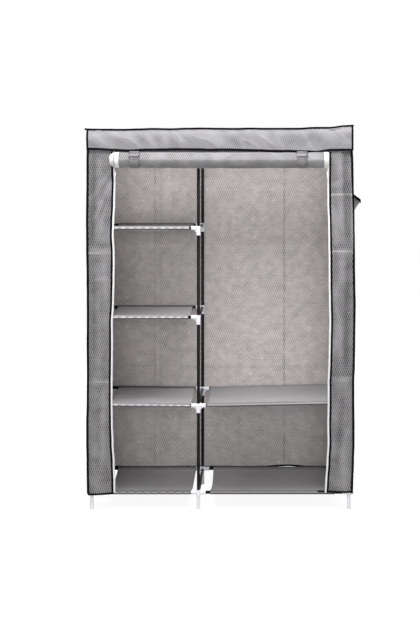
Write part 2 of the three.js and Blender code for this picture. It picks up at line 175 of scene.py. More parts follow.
def arch(share):
    """0 at both ends of a share from 0 to 1, and 1 at its middle."""
    return np.sin(math.pi * share)


def hung(u, v, seed, depth=1.0):
    """Relief of a hung panel: long folds down it, crossing drag lines and fine crumples."""
    long_folds = 2.4 * MM * soft_noise(u + 0.16 * v, v, 0.085, 0.62, seed)
    drag = 2.6 * MM * soft_noise(u - 0.5 * v, v + 0.4 * u, 0.075, 0.17, seed + 5)
    slack = 1.8 * MM * soft_noise(u, v + 0.7 * u, 0.16, 0.075, seed + 7)
    fine = 1.5 * MM * crumple(u, v, 0.06, seed + 9) + 0.9 * MM * crumple(v, u, 0.03, seed + 12)
    return depth * (long_folds + drag + slack + fine)


def grid(rows, columns):
    """Two grids, with the rows' values and with the columns' values."""
    return np.meshgrid(rows, columns, indexing="ij")


def joined(*parts):
    """Points from their coordinates, each a grid, a line or one number."""
    return np.stack(np.broadcast_arrays(*parts), -1)


def run_along(path):
    """The length of a path up to each of its points."""
    return np.concatenate([[0], np.cumsum(np.linalg.norm(np.diff(path, axis=0), axis=1))])


# Meshes

def add_object(name, mesh, *materials):
    made = bpy.data.objects.new(name, mesh)
    bpy.context.scene.collection.objects.link(made)
    for material in materials:
        mesh.materials.append(material)
    return made


def new_mesh(name, verts, faces):
    mesh = bpy.data.meshes.new(name)
    mesh.from_pydata(verts, [], faces)
    return mesh


def smooth(mesh):
    mesh.polygons.foreach_set("use_smooth", np.ones(len(mesh.polygons), bool))


def quads_of(index):
    """The quads between the neighbours in a grid of point numbers."""
    return np.stack([index[:-1, :-1], index[:-1, 1:], index[1:, 1:], index[1:, :-1]], -1).reshape(-1, 4)


def averaged(values, cells, axis):
    """A grid averaged along one axis over the cells within a reach of each."""
    pad = [(0, 0)] * values.ndim
    pad[axis] = (cells + 1, cells)
    total = np.cumsum(np.pad(values, pad, mode="edge"), axis=axis)
    count = values.shape[axis]
    upper = np.take(total, range(2 * cells + 1, 2 * cells + 1 + count), axis=axis)
    lower = np.take(total, range(count), axis=axis)
    return (upper - lower) / (2 * cells + 1)


CREST_REACH = 34 * MM
CREST_DEPTH = 2.2 * MM


def crests(points, outward_sign):
    """How far each grid point stands out from the cloth round it, from -1 in a hollow to 1 on a crest."""
    rounded_off = points
    for axis in (0, 1):
        pitch = np.median(np.linalg.norm(np.diff(points, axis=axis), axis=-1))
        rounded_off = averaged(rounded_off, max(1, int(round(CREST_REACH / pitch))), axis)
    normal = np.cross(np.gradient(points, axis=1), np.gradient(points, axis=0))
    normal *= outward_sign / np.maximum(np.linalg.norm(normal, axis=-1, keepdims=True), 1e-12)
    standing = ((points - rounded_off) * normal).sum(-1)
    return np.clip((standing - np.median(standing)) / CREST_DEPTH, -1, 1)


def set_flat(mesh, corners, flat):
    """Writes the flat coordinates, in metres, of the points at each face corner."""
    layer = mesh.uv_layers.new(name="Flat")
    layer.data.foreach_set("uv", np.asarray(flat, np.float32).reshape(-1, 2)[corners].ravel())


def place(piece, slot, body=WARDROBE, nodes=()):
    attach(piece, body)
    if nodes:
        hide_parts(*nodes)
    return piece


def cloth(name, points, flat, facing, outside, inside, nodes=(), slot="cover_cloth", body=WARDROBE,
          thickness=CLOTH):
    """A sheet through a grid of points. facing is about the way that its outer face looks."""
    quads = quads_of(np.arange(points[..., 0].size).reshape(points.shape[:2]))
    flattened = points.reshape(-1, 3)
    a, b, _, d = (flattened[quads[:, k]] for k in range(4))
    turned = (np.cross(b - a, d - a) @ np.array(facing)).sum() < 0
    if turned:
        quads = quads[:, ::-1]
    mesh = new_mesh(name, flattened.tolist(), quads.tolist())
    set_flat(mesh, quads.ravel(), flat)
    # The cloth's materials turn this Crest attribute into painted shade and light
    standing = mesh.attributes.new("Crest", "FLOAT", "POINT")
    standing.data.foreach_set("value", crests(points, -1 if turned else 1).ravel().astype(np.float32))
    smooth(mesh)
    made = add_object(name, mesh, outside, inside)
    thick = made.modifiers.new("Thickness", "SOLIDIFY")
    thick.thickness = thickness
    thick.offset = 0
    thick.material_offset = 1
    return place(made, slot, body, nodes)


def sweep(name, path, across, section, material, taper=1.0):
    """A closed body: a section of (across, out) points carried along a path."""
    path = np.asarray(path, float)
    across = np.broadcast_to(np.asarray(across, float), path.shape)
    tangent = np.gradient(path, axis=0)
    tangent /= np.linalg.norm(tangent, axis=1)[:, None]
    across = across - (across * tangent).sum(1)[:, None] * tangent
    across /= np.linalg.norm(across, axis=1)[:, None]
    out = np.cross(tangent, across)
    scale = taper * np.ones(len(path))
    rings = (path[:, None] + scale[:, None, None] * (
        across[:, None] * section[None, :, :1] + out[:, None] * section[None, :, 1:]))
    index = np.arange(len(path) * len(section)).reshape(len(path), len(section))
    quads = quads_of(np.concatenate([index, index[:, :1]], axis=1))
    caps = [index[0][::-1].tolist(), index[-1].tolist()]
    mesh = new_mesh(name, rings.reshape(-1, 3).tolist(), quads.tolist() + caps)
    flat = joined(run_along(path)[:, None], run_along(section)[None, :])
    set_flat(mesh, np.concatenate([quads.ravel(), *[np.array(cap) for cap in caps]]), flat)
    smooth(mesh)
    made = add_object(name, mesh, material)
    face_outwards(mesh)
    return made


def face_outwards(mesh):
    work = bmesh.new()
    work.from_mesh(mesh)
    bmesh.ops.recalc_face_normals(work, faces=work.faces)
    work.to_mesh(mesh)
    work.free()


def rounded(width, thickness, points=14, square=3.2):
    """A flat section with rounded edges."""
    turn = np.linspace(0, 2 * math.pi, points, endpoint=False)
    sides = []
    for wave, size in ((np.cos(turn), width), (np.sin(turn), thickness)):
        sides.append(np.sign(wave) * np.abs(wave) ** (2 / square) * size / 2)
    return np.stack(sides, -1)


def ringed_faces(start, sides, rings):
    """The faces of a closed body, whose rings of points follow each other from the point start on."""
    faces = []
    for ring in range(rings - 1):
        for q in range(sides):
            a, b = start + ring * sides + q, start + ring * sides + (q + 1) % sides
            faces.append((a, b, b + sides, a + sides))
    last = start + (rings - 1) * sides
    faces.append(tuple(start + q for q in reversed(range(sides))))
    faces.append(tuple(last + q for q in range(sides)))
    return faces


# How a point of a lathed solid moves where the solid is turned about another axis than Z
TURNED = {"x": lambda p: (p.z, p.y, -p.x), "y": lambda p: (p.x, p.z, -p.y), "z": lambda p: p}


def lathe(profile, sides=28, axis="z"):
    """A bmesh of (radius, height) points turned about an axis. A profile that starts and ends at radius 0 is
    closed by single points there, and any other closes on itself."""
    solid = bmesh.new()
    rings = []
    for radius, height in profile:
        if radius == 0:
            rings.append([solid.verts.new((0, 0, height))])
            continue
        turns = (2 * math.pi * k / sides for k in range(sides))
        rings.append([solid.verts.new((radius * math.cos(t), radius * math.sin(t), height)) for t in turns])
    pairs = list(zip(rings, rings[1:]))
    if profile[0][0] != 0:
        pairs.append((rings[-1], rings[0]))
    for low, high in pairs:
        for k in range(sides):
            near = [low[step % len(low)] for step in (k, k + 1)]
            far = [high[step % len(high)] for step in (k + 1, k)]
            solid.faces.new(list(dict.fromkeys(near + far)))
    for vert in solid.verts:
        vert.co = TURNED[axis](vert.co)
    bmesh.ops.recalc_face_normals(solid, faces=solid.faces)
    return solid


def mirrored(lower_half):
    """A profile about height 0, from its lower half."""
    return list(lower_half) + [(radius, -height) for radius, height in reversed(lower_half)]


def to_object(name, solid, *materials, sharp=None):
    """An object from a bmesh. Edges that bend by more than sharp degrees stay sharp."""
    mesh = bpy.data.meshes.new(name)
    solid.to_mesh(mesh)
    solid.free()
    smooth(mesh)
    if sharp:
        mesh.set_sharp_from_angle(angle=math.radians(sharp))
    return add_object(name, mesh, *materials)


# Materials

class Signal:
    """A value that varies over a surface. Sums and products of signals become nodes of its material."""

    def __init__(self, paint, socket):
        self.paint = paint
        self.socket = socket

    def __add__(self, other):
        return self.paint.math("ADD", self, other)

    def __radd__(self, other):
        return self.paint.math("ADD", other, self)

    def __sub__(self, other):
        return self.paint.math("SUBTRACT", self, other)

    def __rsub__(self, other):
        return self.paint.math("SUBTRACT", other, self)

    def __mul__(self, other):
        return self.paint.math("MULTIPLY", self, other)

    def __abs__(self):
        return self.paint.math("ABSOLUTE", self)


class Paint:
    """A material, with short calls for the nodes that its surface needs."""

    def __init__(self, name, colour, roughness, **settings):
        self.material = bpy.data.materials.new(name)
        self.material.use_nodes = True
        self.tree = self.material.node_tree
        self.shader = self.tree.nodes["Principled BSDF"]
        self.colour = colour
        settings["Roughness"] = roughness
        settings["Base_Color"] = (*colour, 1)
        for socket, value in settings.items():
            self.set(socket, value)

    def set(self, socket, value):
        self.feed(self.shader.inputs[socket.replace("_", " ")], value)

    def feed(self, socket, value):
        if isinstance(value, Signal):
            self.tree.links.new(value.socket, socket)
        else:
            socket.default_value = value

    def add(self, kind, **values):
        node = self.tree.nodes.new("ShaderNode" + kind)
        for name, value in values.items():
            self.feed(node.inputs[name.replace("_", " ")], value)
        return node

    def signal(self, node, output=0):
        return Signal(self, node.outputs[output])

    def math(self, operation, *values):
        node = self.add("Math")
        node.operation = operation
        for socket, value in zip(node.inputs, values):
            self.feed(socket, value)
        return self.signal(node)

    def wave(self, operation, place, pitch):
        return self.math(operation, place * (2 * math.pi / pitch))

    def range(self, value, low, high, to_low=0.0, to_high=1.0):
        node = self.add("MapRange")
        node.interpolation_type = "SMOOTHSTEP"
        for socket, number in zip(node.inputs, (value, low, high, to_low, to_high)):
            self.feed(socket, number)
        return self.signal(node)

    def flat(self):
        """The flat coordinates along and across the cloth, and both as a vector, in metres."""
        node = self.add("UVMap")
        node.uv_map = "Flat"
        whole = self.signal(node)
        parts = self.add("SeparateXYZ", Vector=whole)
        return self.signal(parts, 0), self.signal(parts, 1), whole

    def place(self):
        return self.signal(self.add("TexCoord"), "Object")

    def crest(self):
        node = self.add("Attribute")
        node.attribute_name = "Crest"
        return self.signal(node, "Fac")

    def noise(self, vector, scale, detail=2, roughness=0.55):
        node = self.add("TexNoise", Vector=vector, Scale=scale, Detail=detail, Roughness=roughness)
        return self.signal(node)

    def stretched(self, vector, scale):
        return self.signal(self.add("Mapping", Vector=vector, Scale=scale))

    def tint(self, amount):
        """Base colour times an amount that varies over the surface."""
        scaled = self.add("VectorMath")
        scaled.operation = "SCALE"
        scaled.inputs[0].default_value = self.colour
        self.feed(scaled.inputs["Scale"], amount)
        self.set("Base_Color", self.signal(scaled))

    def bump(self, height, distance, strength):
        self.set("Normal", self.signal(self.add("Bump", Height=height, Distance=distance, Strength=strength)))


DOT_PITCH = (8.65 * MM, 24.3 * MM)
# The row of painted highlight dashes along a shelf's front tube, and the bands of painted shade and
# light along its cloth from the front tail on: from and to in millimetres, and how light the cloth is
# before and after
SLEEVE_RIDGE = 43.5 * MM
SLEEVE_BANDS = ((38, 43, 0.35, 1.0), (44, 49, 1.0, 0.72), (60, 110, 1.0, 1.39))
# Where a shelf's painted shade and light change towards the back, and over its back tube
TO_THE_BACK = (210, 440)
AT_THE_BACK = (432, 458)


def nonwoven(name, colour, dots, mottle, shade, flecks=0.0, pale_folds=(), dark_folds=(), shelf=None):
    """Spun-bonded cloth: embossed staggered dots that come and go, cloudy fibre density, streaks and flecks.
    shade is how much painted shade and light its folds get: darker in hollows, lighter on crests. pale_folds
    are painted highlights along creases across it, each with its strength, and dark_folds are painted shade
    along sharp creases along it. shelf is for a shelf: the strength and pitch of its painted highlight dashes
    over its front tube, and its painted shade and light to the back and over the back tube."""
    paint = Paint(name, colour, 0.74, Sheen_Weight=0.2, Sheen_Roughness=0.45, Specular_IOR_Level=0.25)
    u, v, flat = paint.flat()
    wave_u, wave_v = (paint.wave("COSINE", at, pitch) for at, pitch in zip((u, v), DOT_PITCH))
    dot = paint.range(wave_u * wave_v, -0.35, 0.65)
    clouds = paint.noise(flat, 26, 5, 0.68)
    patches = paint.noise(flat, 9, 3, 0.6)
    streaks = paint.noise(paint.stretched(flat, (0.25, 1.0, 1.0)), 100, 4, 0.65)
    fibres = paint.noise(paint.stretched(flat, (1, 0.35, 1)), 900, 2, 0.7)
    amount = 1 + 0.45 * dots
    layers = ((clouds, 2.0 * mottle), (patches, mottle), (streaks, 1.1 * mottle), (fibres, 0.3))
    for layer, share in layers:
        amount = amount + (layer - 0.5) * share
    # Painted shade and light: the cloth is made darker in its hollows and lighter on its crests
    amount = amount - dot * (paint.range(patches, 0.36, 0.6, 0.5, 1.2) * dots) + paint.crest() * shade
    if flecks:
        cells = paint.add("TexVoronoi", Vector=flat, Scale=8.0, Randomness=1.0)
        cells.voronoi_dimensions = "2D"
        uneven = paint.signal(cells, "Distance") + streaks * 0.03
        amount = amount + paint.range(uneven, 0.03, 0.05, 1.0, 0.0) * flecks
    wander = (clouds - 0.5) * (6 * MM)

    def crease(away, narrow, wide, patchy):
        return paint.range(abs(away + wander), narrow, wide, 1.0, 0.0) * paint.range(patches, patchy, 0.55)

    # Painted highlights along the pale creases
    for fold_v, strength in pale_folds:
        amount = amount + crease(v - fold_v, 1 * MM, 6 * MM, 0.4) * strength
    # Painted shade along the dark creases
    for fold_u in dark_folds:
        amount = amount - crease(u - fold_u, 0.5 * MM, 4 * MM, 0.35) * 0.35
    # A shelf's painted shade and light: bands along it, and a row of painted highlight dashes over its front
    # tube
    if shelf:
        strength, pitch, at_depth, at_back = shelf
        bands = ((*TO_THE_BACK, 1.0, at_depth), (*AT_THE_BACK, 1.0, at_back), *SLEEVE_BANDS)
        for start, end, before, after in bands:
            amount = amount * paint.range(v, start * MM, end * MM, before, after)
        row = paint.range(abs(v - SLEEVE_RIDGE), 1.4 * MM, 3.2 * MM, 1.0, 0.0)
        amount = amount + row * paint.range(paint.wave("SINE", u, pitch), -0.6, 0.5, 0.1, 1.0) * strength
    paint.tint(paint.math("MAXIMUM", amount, 0.1))
    paint.bump(fibres * 0.35 - dot, 0.25 * MM, 0.8)
    return paint.material


def ribbed_tape(name, colour, pitch, contrast, stitch=0.0):
    """Woven tape: ribs across its length, and where stitch is set, a row of sunken stitches along it."""
    paint = Paint(name, colour, 0.75, Specular_IOR_Level=0.0)
    u, v, flat = paint.flat()
    rib = paint.wave("SINE", u, pitch)
    slub = paint.noise(flat, 160)
    height = rib * 0.4 + slub
    amount = 1 - contrast / 2 + slub * contrast
    if stitch:
        near = paint.range(paint.math("PINGPONG", u, 2.4 * MM), 0.5 * MM, 0.9 * MM, 1.0, 0.0)
        dent = near * paint.range(abs(v - stitch), 0.4 * MM, 0.9 * MM, 1.0, 0.0)
        height = height - dent * 2.0
        # The tape is also darker in the stitch dents: painted shade
        amount = amount - dent * 0.4
    paint.tint(amount)
    paint.bump(height, 0.15 * MM, 0.7)
    return paint.material


def painted_steel():
    paint = Paint("black_painted_steel", (0.005, 0.0047, 0.006), 0.34, Specular_IOR_Level=0.12)
    spot = paint.place()
    scuffs = paint.range(paint.noise(paint.stretched(spot, (1, 1, 0.08)), 260, 4, 0.7), 0.6, 0.75)
    paint.tint(0.9 + scuffs * 1.6)
    paint.set("Roughness", 0.3 + scuffs * 0.25)
    paint.bump(paint.noise(spot, 420), 0.08 * MM, 0.35)
    return paint.material


def moulded_plastic():
    paint = Paint("white_moulded_plastic", (0.74, 0.74, 0.785), 0.34)
    spot = paint.place()
    flow = paint.noise(spot, 55)
    paint.tint(0.965 + flow * 0.07)
    paint.set("Roughness", 0.28 + flow * 0.14)
    paint.bump(paint.noise(spot, 900), 0.05 * MM, 0.4)
    return paint.material


def painted_zinc():
    paint = Paint("white_painted_zinc", (0.78, 0.78, 0.8), 0.3, Metallic=0.15, Coat_Weight=0.3)
    spot = paint.place()
    worn = paint.range(paint.noise(spot, 380, 4, 0.7), 0.58, 0.72)
    paint.tint(1.0 - worn * 0.25)
    paint.bump(paint.noise(spot, 700), 0.05 * MM, 0.4)
    return paint.material


steel = painted_steel()
plastic = moulded_plastic()
zinc = painted_zinc()
# Painted shade: dark lines down the inside cloth along the back panel's creases, at these X in metres
FOLDS_ACROSS = (-0.344, 0.275)
# Painted highlights along the strips' creases: the height of each in metres, and its strength
PALE_FOLDS = {
    "left": ((0.565, 0.3), (1.130, 0.9)),
    "right": ((0.581, 0.4), (1.138, 0.7), (1.387, 0.7)),
}
STRIP_GREY = (0.152, 0.148, 0.152)
strip_cloth = {
    side: nonwoven(f"strip_{side}_nonwoven", STRIP_GREY, 0.95, 0.16, 0.36, pale_folds=PALE_FOLDS[side])
    for side in SIDES
}
outer_cloth = nonwoven("cover_nonwoven", STRIP_GREY, 0.9, 0.25, 0.35)
# The header's cloth is the strips' cloth made lighter: painted sheen
lit_header_cloth = nonwoven("header_nonwoven", (0.21, 0.206, 0.215), 0.34, 0.22, 0.2)
door_cloth = nonwoven("door_nonwoven", (0.15, 0.147, 0.151), 1.5, 0.16, 0.3)
inner_cloth = nonwoven("back_nonwoven", (0.43, 0.403, 0.393), 0.52, 0.42, 0.1, 0.6, dark_folds=FOLDS_ACROSS)
# The shelves share one cloth, with a grey for each bay and level as painted light and shade: lightest on the
# left, darker on the right and darkest on the base shelves
LIT_LEFT_SHELF_GREY = (0.38, 0.369, 0.376)
LIT_RIGHT_SHELF_GREY = (0.30, 0.292, 0.297)
SHADED_BASE_SHELF_GREY = (0.195, 0.189, 0.191)
# Each shelf's grey, and the strength and pitch of its painted highlight dashes and its painted shade and
# light to the back
SHELF_LOOKS = {
    ("left", "upper"): (LIT_LEFT_SHELF_GREY, (0.8, 35 * MM, 0.2, 0.12)),
    ("left", "middle"): (LIT_LEFT_SHELF_GREY, (0.9, 35 * MM, 0.85, 0.25)),
    ("left", "lower"): (LIT_LEFT_SHELF_GREY, (0.8, 35 * MM, 0.8, 0.3)),
    ("left", "base"): (SHADED_BASE_SHELF_GREY, (0.8, 35 * MM, 1.6, 0.5)),
    ("right", "lower"): (LIT_RIGHT_SHELF_GREY, (0.45, 9 * MM, 0.7, 0.8)),
    ("right", "base"): (SHADED_BASE_SHELF_GREY, (0.6, 9 * MM, 1.9, 0.5)),
}
shelf_cloth = {
    (bay, level): nonwoven(f"shelf_{bay}_{level}_nonwoven", grey, 0.12, 0.15, 0.15, shelf=look)
    for (bay, level), (grey, look) in SHELF_LOOKS.items()
}
# The pocket's cloth is the cover's cloth made darker: painted shade of its side-facing cloth
pocket_cloth = nonwoven("pocket_nonwoven", (0.095, 0.092, 0.095), 0.8, 0.25, 0.35)
black_binding = ribbed_tape("black_binding", (0.0075, 0.0068, 0.0085), 1.3 * MM, 0.5, 3.6 * MM)
white_tape = ribbed_tape("white_zipper_tape", (0.76, 0.76, 0.745), 0.9 * MM, 0.08)
black_thread = Paint("black_thread", (0.02, 0.02, 0.022), 0.6).material
grey_thread = Paint("grey_thread", (0.42, 0.42, 0.43), 0.6).material


# Sewn details

def binding(name, path, across, width=BINDING_WIDTH, seed=1):
    """Black tape folded over a cloth edge. across points over the edge."""
    path = np.array(path, float)
    along = run_along(path)
    sway = 0.35 * MM * soft_noise(along, 0 * along, 0.045, 1, seed)
    path = path + np.broadcast_to(np.asarray(across, float), path.shape) * sway[:, None]
    fullness = 1 + 0.05 * soft_noise(along, 0 * along, 0.03, 1, seed + 40)
    section = rounded(width, BINDING_THICKNESS)
    return place(sweep(name, path, across, section, black_binding, fullness), "binding")


THREAD = 0.45 * MM
# The rings of a stitch: how far along its pitch, how high and how thick, in thread radii
STITCH_RINGS = ((-0.36, -0.6, 0.5), (-0.2, 0.25, 1.0), (0.2, 0.25, 1.0), (0.36, -0.6, 0.5))


def stitch_row(name, path, normal, material, slot, body=WARDROBE, pitch=4.6 * MM):
    """A row of separate stitches along a path, each a small closed spindle that dips in at both ends."""
    along = run_along(path)
    count = max(2, int(along[-1] / pitch))
    verts, faces = [], []
    for k in range(count):
        middle = (k + 0.5) * along[-1] / count
        spot, ahead = (np.array([np.interp(at, along, path[:, axis]) for axis in range(3)])
                       for at in (middle, middle + pitch / 4))
        tangent = ahead - spot
        tangent /= max(np.linalg.norm(tangent), 1e-9)
        side = np.cross(tangent, normal)
        faces += ringed_faces(len(verts), 4, len(STITCH_RINGS))
        for step, rise, fat in STITCH_RINGS:
            for turn in (0.25, 0.75, 1.25, 1.75):
                c, s = math.cos(turn * math.pi), math.sin(turn * math.pi)
                offset = side * c * THREAD * fat + normal * (s * THREAD * fat + rise * THREAD)
                verts.append((spot + tangent * step * pitch + offset).tolist())
    mesh = new_mesh(name, verts, faces)
    smooth(mesh)
    made = add_object(name, mesh, material)
    face_outwards(mesh)
    return place(made, slot, body)


# Steel tubes

# How much higher the outer end of a bay's bars sits than the inner one
OUTER_LIFT = {("right", "lower"): 13 * MM, ("left", "lower"): 5 * MM}


def lift_at(bay, level, x):
    reach = (x - column_x["centre"]) / (column_x[bay] - column_x["centre"])
    return OUTER_LIFT.get((bay, level), 0.0) * reach


def steel_tube(name, axis, low, high, centre, nodes):
    """A tube with rolled lips at both ends, from low to high along its axis."""
    profile = [
        (TUBE_BORE, low + TUBE_LIP), (TUBE_BORE + TUBE_LIP / 2, low), (TUBE_RADIUS - TUBE_LIP, low),
        (TUBE_RADIUS, low + TUBE_LIP), (TUBE_RADIUS, high - TUBE_LIP), (TUBE_RADIUS - TUBE_LIP, high),
        (TUBE_BORE + TUBE_LIP / 2, high), (TUBE_BORE, high - TUBE_LIP),
    ]
    made = to_object(name, lathe(profile, 32, axis), steel, sharp=50)
    made.location = centre
    return place(made, "black_steel", nodes=nodes)


def plastic_ring(name, lower_half, axis, centre, nodes=()):
    ring = to_object(name, lathe(mirrored(lower_half), 32, axis), plastic, sharp=40)
    ring.location = centre
    place(ring, "white_plastic", nodes=nodes)


def build_tubes():
    for column, x in column_x.items():
        for row, y in row_y.items():
            node = f"upright_{column}_{row}"
            low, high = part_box(node)
            steel_tube(f"tube_{node}", "z", low.z, high.z, (x, y, 0), [node])
    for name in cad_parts:
        if name.startswith("bar_"):
            low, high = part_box(name)
            at = centre_of(name)
            tube = steel_tube(f"tube_{name}", "x", low.x, high.x, (0, at.y, at.z), [name])
            bay, level = name.split("_")[1:3]
            if (bay, level) in OUTER_LIFT:
                start = lift_at(bay, level, 0.0)
                tube.rotation_euler.y = -math.atan(lift_at(bay, level, 1.0) - start)
                tube.location.z += start
    low, high = row_y["front"] + DEPTH_TUBE_SEAT, row_y["back"] - DEPTH_TUBE_SEAT
    for column, x in column_x.items():
        for level in LEVELS:
            names = [f"crossbar_{level}"] * (column == "centre") + [f"rail_{column}_{level}"]
            nodes = [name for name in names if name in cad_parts][:1]
            if nodes:
                z = level_z[level] + OUTER_LIFT.get((column, level), 0.0)
                steel_tube(f"depth_tube_{column}_{level}", "y", low, high, (x, 0, z), nodes)
    low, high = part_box("hanging_rod")
    middle_y = (low.y + high.y) / 2
    ends = (column_x["centre"] + SOCKET_RADIUS, column_x["right"] - SOCKET_RADIUS)
    steel_tube("tube_hanging_rod", "x", *ends, (0, middle_y, level_z["top"]), ["hanging_rod"])
    lower_half = [(SOCKET_BORE, -ROD_RING_HALF), (RIM_RADIUS, -ROD_RING_HALF),
                  (RIM_RADIUS + 0.4 * MM, -ROD_RING_HALF + 1 * MM)]
    for column in ("centre", "right"):
        at = (column_x[column], middle_y, level_z["top"])
        plastic_ring(f"rod_ring_{column}", lower_half, "y", at, ["hanging_rod"])


# Plastic connectors

def rimmed(radius, low, high, rim_low, rim_high):
    """The outline of a round arm with a thicker rim at its open ends."""
    def end(at, way, rim):
        if not rim:
            return [(radius - 2 * CHAMFER, at), (radius, at + way * 2 * CHAMFER)]
        return [(RIM_RADIUS - CHAMFER, at), (RIM_RADIUS, at + way * CHAMFER),
                (RIM_RADIUS, at + way * RIM_LENGTH), (radius, at + way * RIM_LENGTH + way * CHAMFER)]

    return [(0, low), *end(low, 1, rim_low), *end(high, -1, rim_high)[::-1], (0, high)]


def web(axis, sign):
    """The web between an arm and the downward socket, with a hollow quarter-round edge and a thick rim."""
    near = SOCKET_RADIUS - 2 * MM
    far = near + GUSSET_RADIUS
    outline = [(near, -near), (far, -near)]
    for k in range(GUSSET_STEPS + 1):
        turn = math.pi / 2 + math.pi / 2 * k / GUSSET_STEPS
        over, up = (GUSSET_RADIUS * wave(turn) * GUSSET_HOLLOW for wave in (math.cos, math.sin))
        outline.append((far + over, -far + up))
    solid = bmesh.new()
    rings = []
    for side in (-GUSSET_HALF, GUSSET_HALF):
        corners = [(sign * a, side, b) if axis == "x" else (side, sign * a, b) for a, b in outline]
        rings.append([solid.verts.new(corner) for corner in corners])
    for k in range(len(outline)):
        after = (k + 1) % len(outline)
        solid.faces.new((rings[0][k], rings[0][after], rings[1][after], rings[1][k]))
    solid.faces.new(rings[0][::-1])
    solid.faces.new(rings[1])
    bmesh.ops.recalc_face_normals(solid, faces=solid.faces)
    return solid


def combine(base, others, operation):
    """Joins the other solids to base, or cuts them from it."""
    helpers = [to_object("helper", solid) for solid in others]
    for helper in helpers:
        step = base.modifiers.new("Join", "BOOLEAN")
        step.operation = operation
        step.solver = "EXACT"
        step.object = helper
    bpy.context.view_layer.update()
    result = bpy.data.meshes.new_from_object(base.evaluated_get(bpy.context.evaluated_depsgraph_get()))
    base.modifiers.clear()
    base.data = result
    for helper in helpers:
        bpy.data.objects.remove(helper)


def plug(low, high, axis="z"):
    """What cuts a tube's bore."""
    return lathe([(0, low), (SOCKET_BORE, low), (SOCKET_BORE, high), (0, high)], axis=axis)


def connector_mesh(kind, arms):
    """A connector about the point where its bars' axes meet. kind is base, through or top."""
    if kind == "base":
        floor_z, flare = -level_z["base"], FOOT_RADIUS + FOOT_FLARE
        foot = [
            (0, floor_z), (flare - FOOT_EDGE, floor_z), (flare, floor_z + FOOT_EDGE),
            (FOOT_RADIUS, floor_z + 14 * MM), (FOOT_RADIUS, -20 * MM), (FOOT_RADIUS + 0.6 * MM, -STUB_HALF),
            (0, -STUB_HALF),
        ]
        outline = rimmed(SOCKET_RADIUS, -STUB_HALF, STUB_HALF, True, True)
        parts = [lathe(foot)]
    else:
        outline = rimmed(SOCKET_RADIUS, -ARM_LENGTH, SOCKET_RADIUS, True, False)
        parts = []
    bores = [plug(*BORE_REACH[kind])]
    for axis, sign in arms:
        low, high = sorted((0, sign * ARM_LENGTH))
        parts.append(lathe(rimmed(SOCKET_RADIUS - 0.2 * MM, low, high, sign < 0, sign > 0), axis=axis))
        if kind == "through":
            parts.append(web(axis, sign))
        inner = 0.0 if kind == "top" and axis == "x" else STUB_HALF
        low, high = sorted((sign * inner - sign * 0.1 * MM, sign * (ARM_LENGTH + 1 * MM)))
        bores.append(plug(low, high, axis))
    base = to_object("connector", lathe(outline))
    combine(base, parts, "UNION")
    combine(base, bores, "DIFFERENCE")
    mesh = base.data
    bpy.data.objects.remove(base)
    smooth(mesh)
    mesh.set_sharp_from_angle(angle=math.radians(28))
    return mesh


def build_connectors():
    made = {}
    column_arms = {"left": [("x", 1)], "centre": [("x", -1), ("x", 1)], "right": [("x", -1)]}
    for column, x in column_x.items():
        for level in LEVELS:
            if column == "right" and level in LEFT_LEVELS:
                continue
            kind = level if level in ("base", "top") else "through"
            sideways = [("x", -1)] if column == "centre" and level in LEFT_LEVELS else column_arms[column]
            for row, y in row_y.items():
                arms = sideways + [("y", 1 if row == "front" else -1)]
                key = (kind, tuple(arms))
                if key not in made:
                    made[key] = connector_mesh(kind, arms)
                piece = add_object(f"corner_{column}_{level}_{row}", made[key].copy())
                piece.data.materials.clear()
                piece.data.materials.append(plastic)
                piece.location = (x, y, level_z[level] + OUTER_LIFT.get((column, level), 0.0))
                own = f"connector_{level}_{row}"
                node = own if column == "centre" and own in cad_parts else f"rail_{column}_{level}"
                place(piece, "white_plastic", nodes=[node])
    lower_half = [(SOCKET_BORE, -COUPLER_HALF), (RIM_RADIUS, -COUPLER_HALF),
                  (RIM_RADIUS, -COUPLER_HALF + RIM_LENGTH), (SOCKET_RADIUS, -COUPLER_HALF + 5 * MM)]
    for level in LEFT_LEVELS:
        for row, y in row_y.items():
            at = (column_x["right"], y, level_z[level])
            plastic_ring(f"coupler_right_{level}_{row}", lower_half, "z", at)


# Cover

# How far the seam of each front strip stands from its straight line, at heights
SEAM_BOW = {
    "left": [(76, 1), (119, 1), (207, -2), (295, -7), (383, -10), (471, -11), (559, -11), (647, -10),
             (735, -9), (823, -10), (911, -5), (1000, -3), (1088, -2), (1131, -2), (1206, -6), (1264, -4),
             (1352, 0), (1440, 2), (1485, 0), (1577, 0)],
    "right": [(76, 0), (119, 2), (207, 7), (295, 11), (383, 9), (471, 10), (559, 9), (647, 12), (735, 13),
              (823, 14), (911, 12), (1000, 10), (1088, 9), (1176, 7), (1264, 5), (1352, 1), (1440, 0),
              (1577, 0)],
}
# How far the outer corner sways, at heights
CORNER_SWAY = {
    "left": [(70, 2), (207, 1), (300, -1), (383, -1), (471, 1), (600, 2), (735, 1), (860, 2), (1000, 1),
             (1176, -1), (1264, -2), (1352, -1), (1440, 0), (1528, 0), (1616, 2), (1660, 2)],
    "right": [(70, -4), (119, -3), (207, 0), (295, 3), (383, 3), (471, 2), (559, 2), (647, 5), (735, 6),
              (823, 7), (911, 8), (1000, 6), (1088, 5), (1176, 4), (1264, 3), (1440, -1), (1528, -2),
              (1616, -7), (1660, -7)],
}
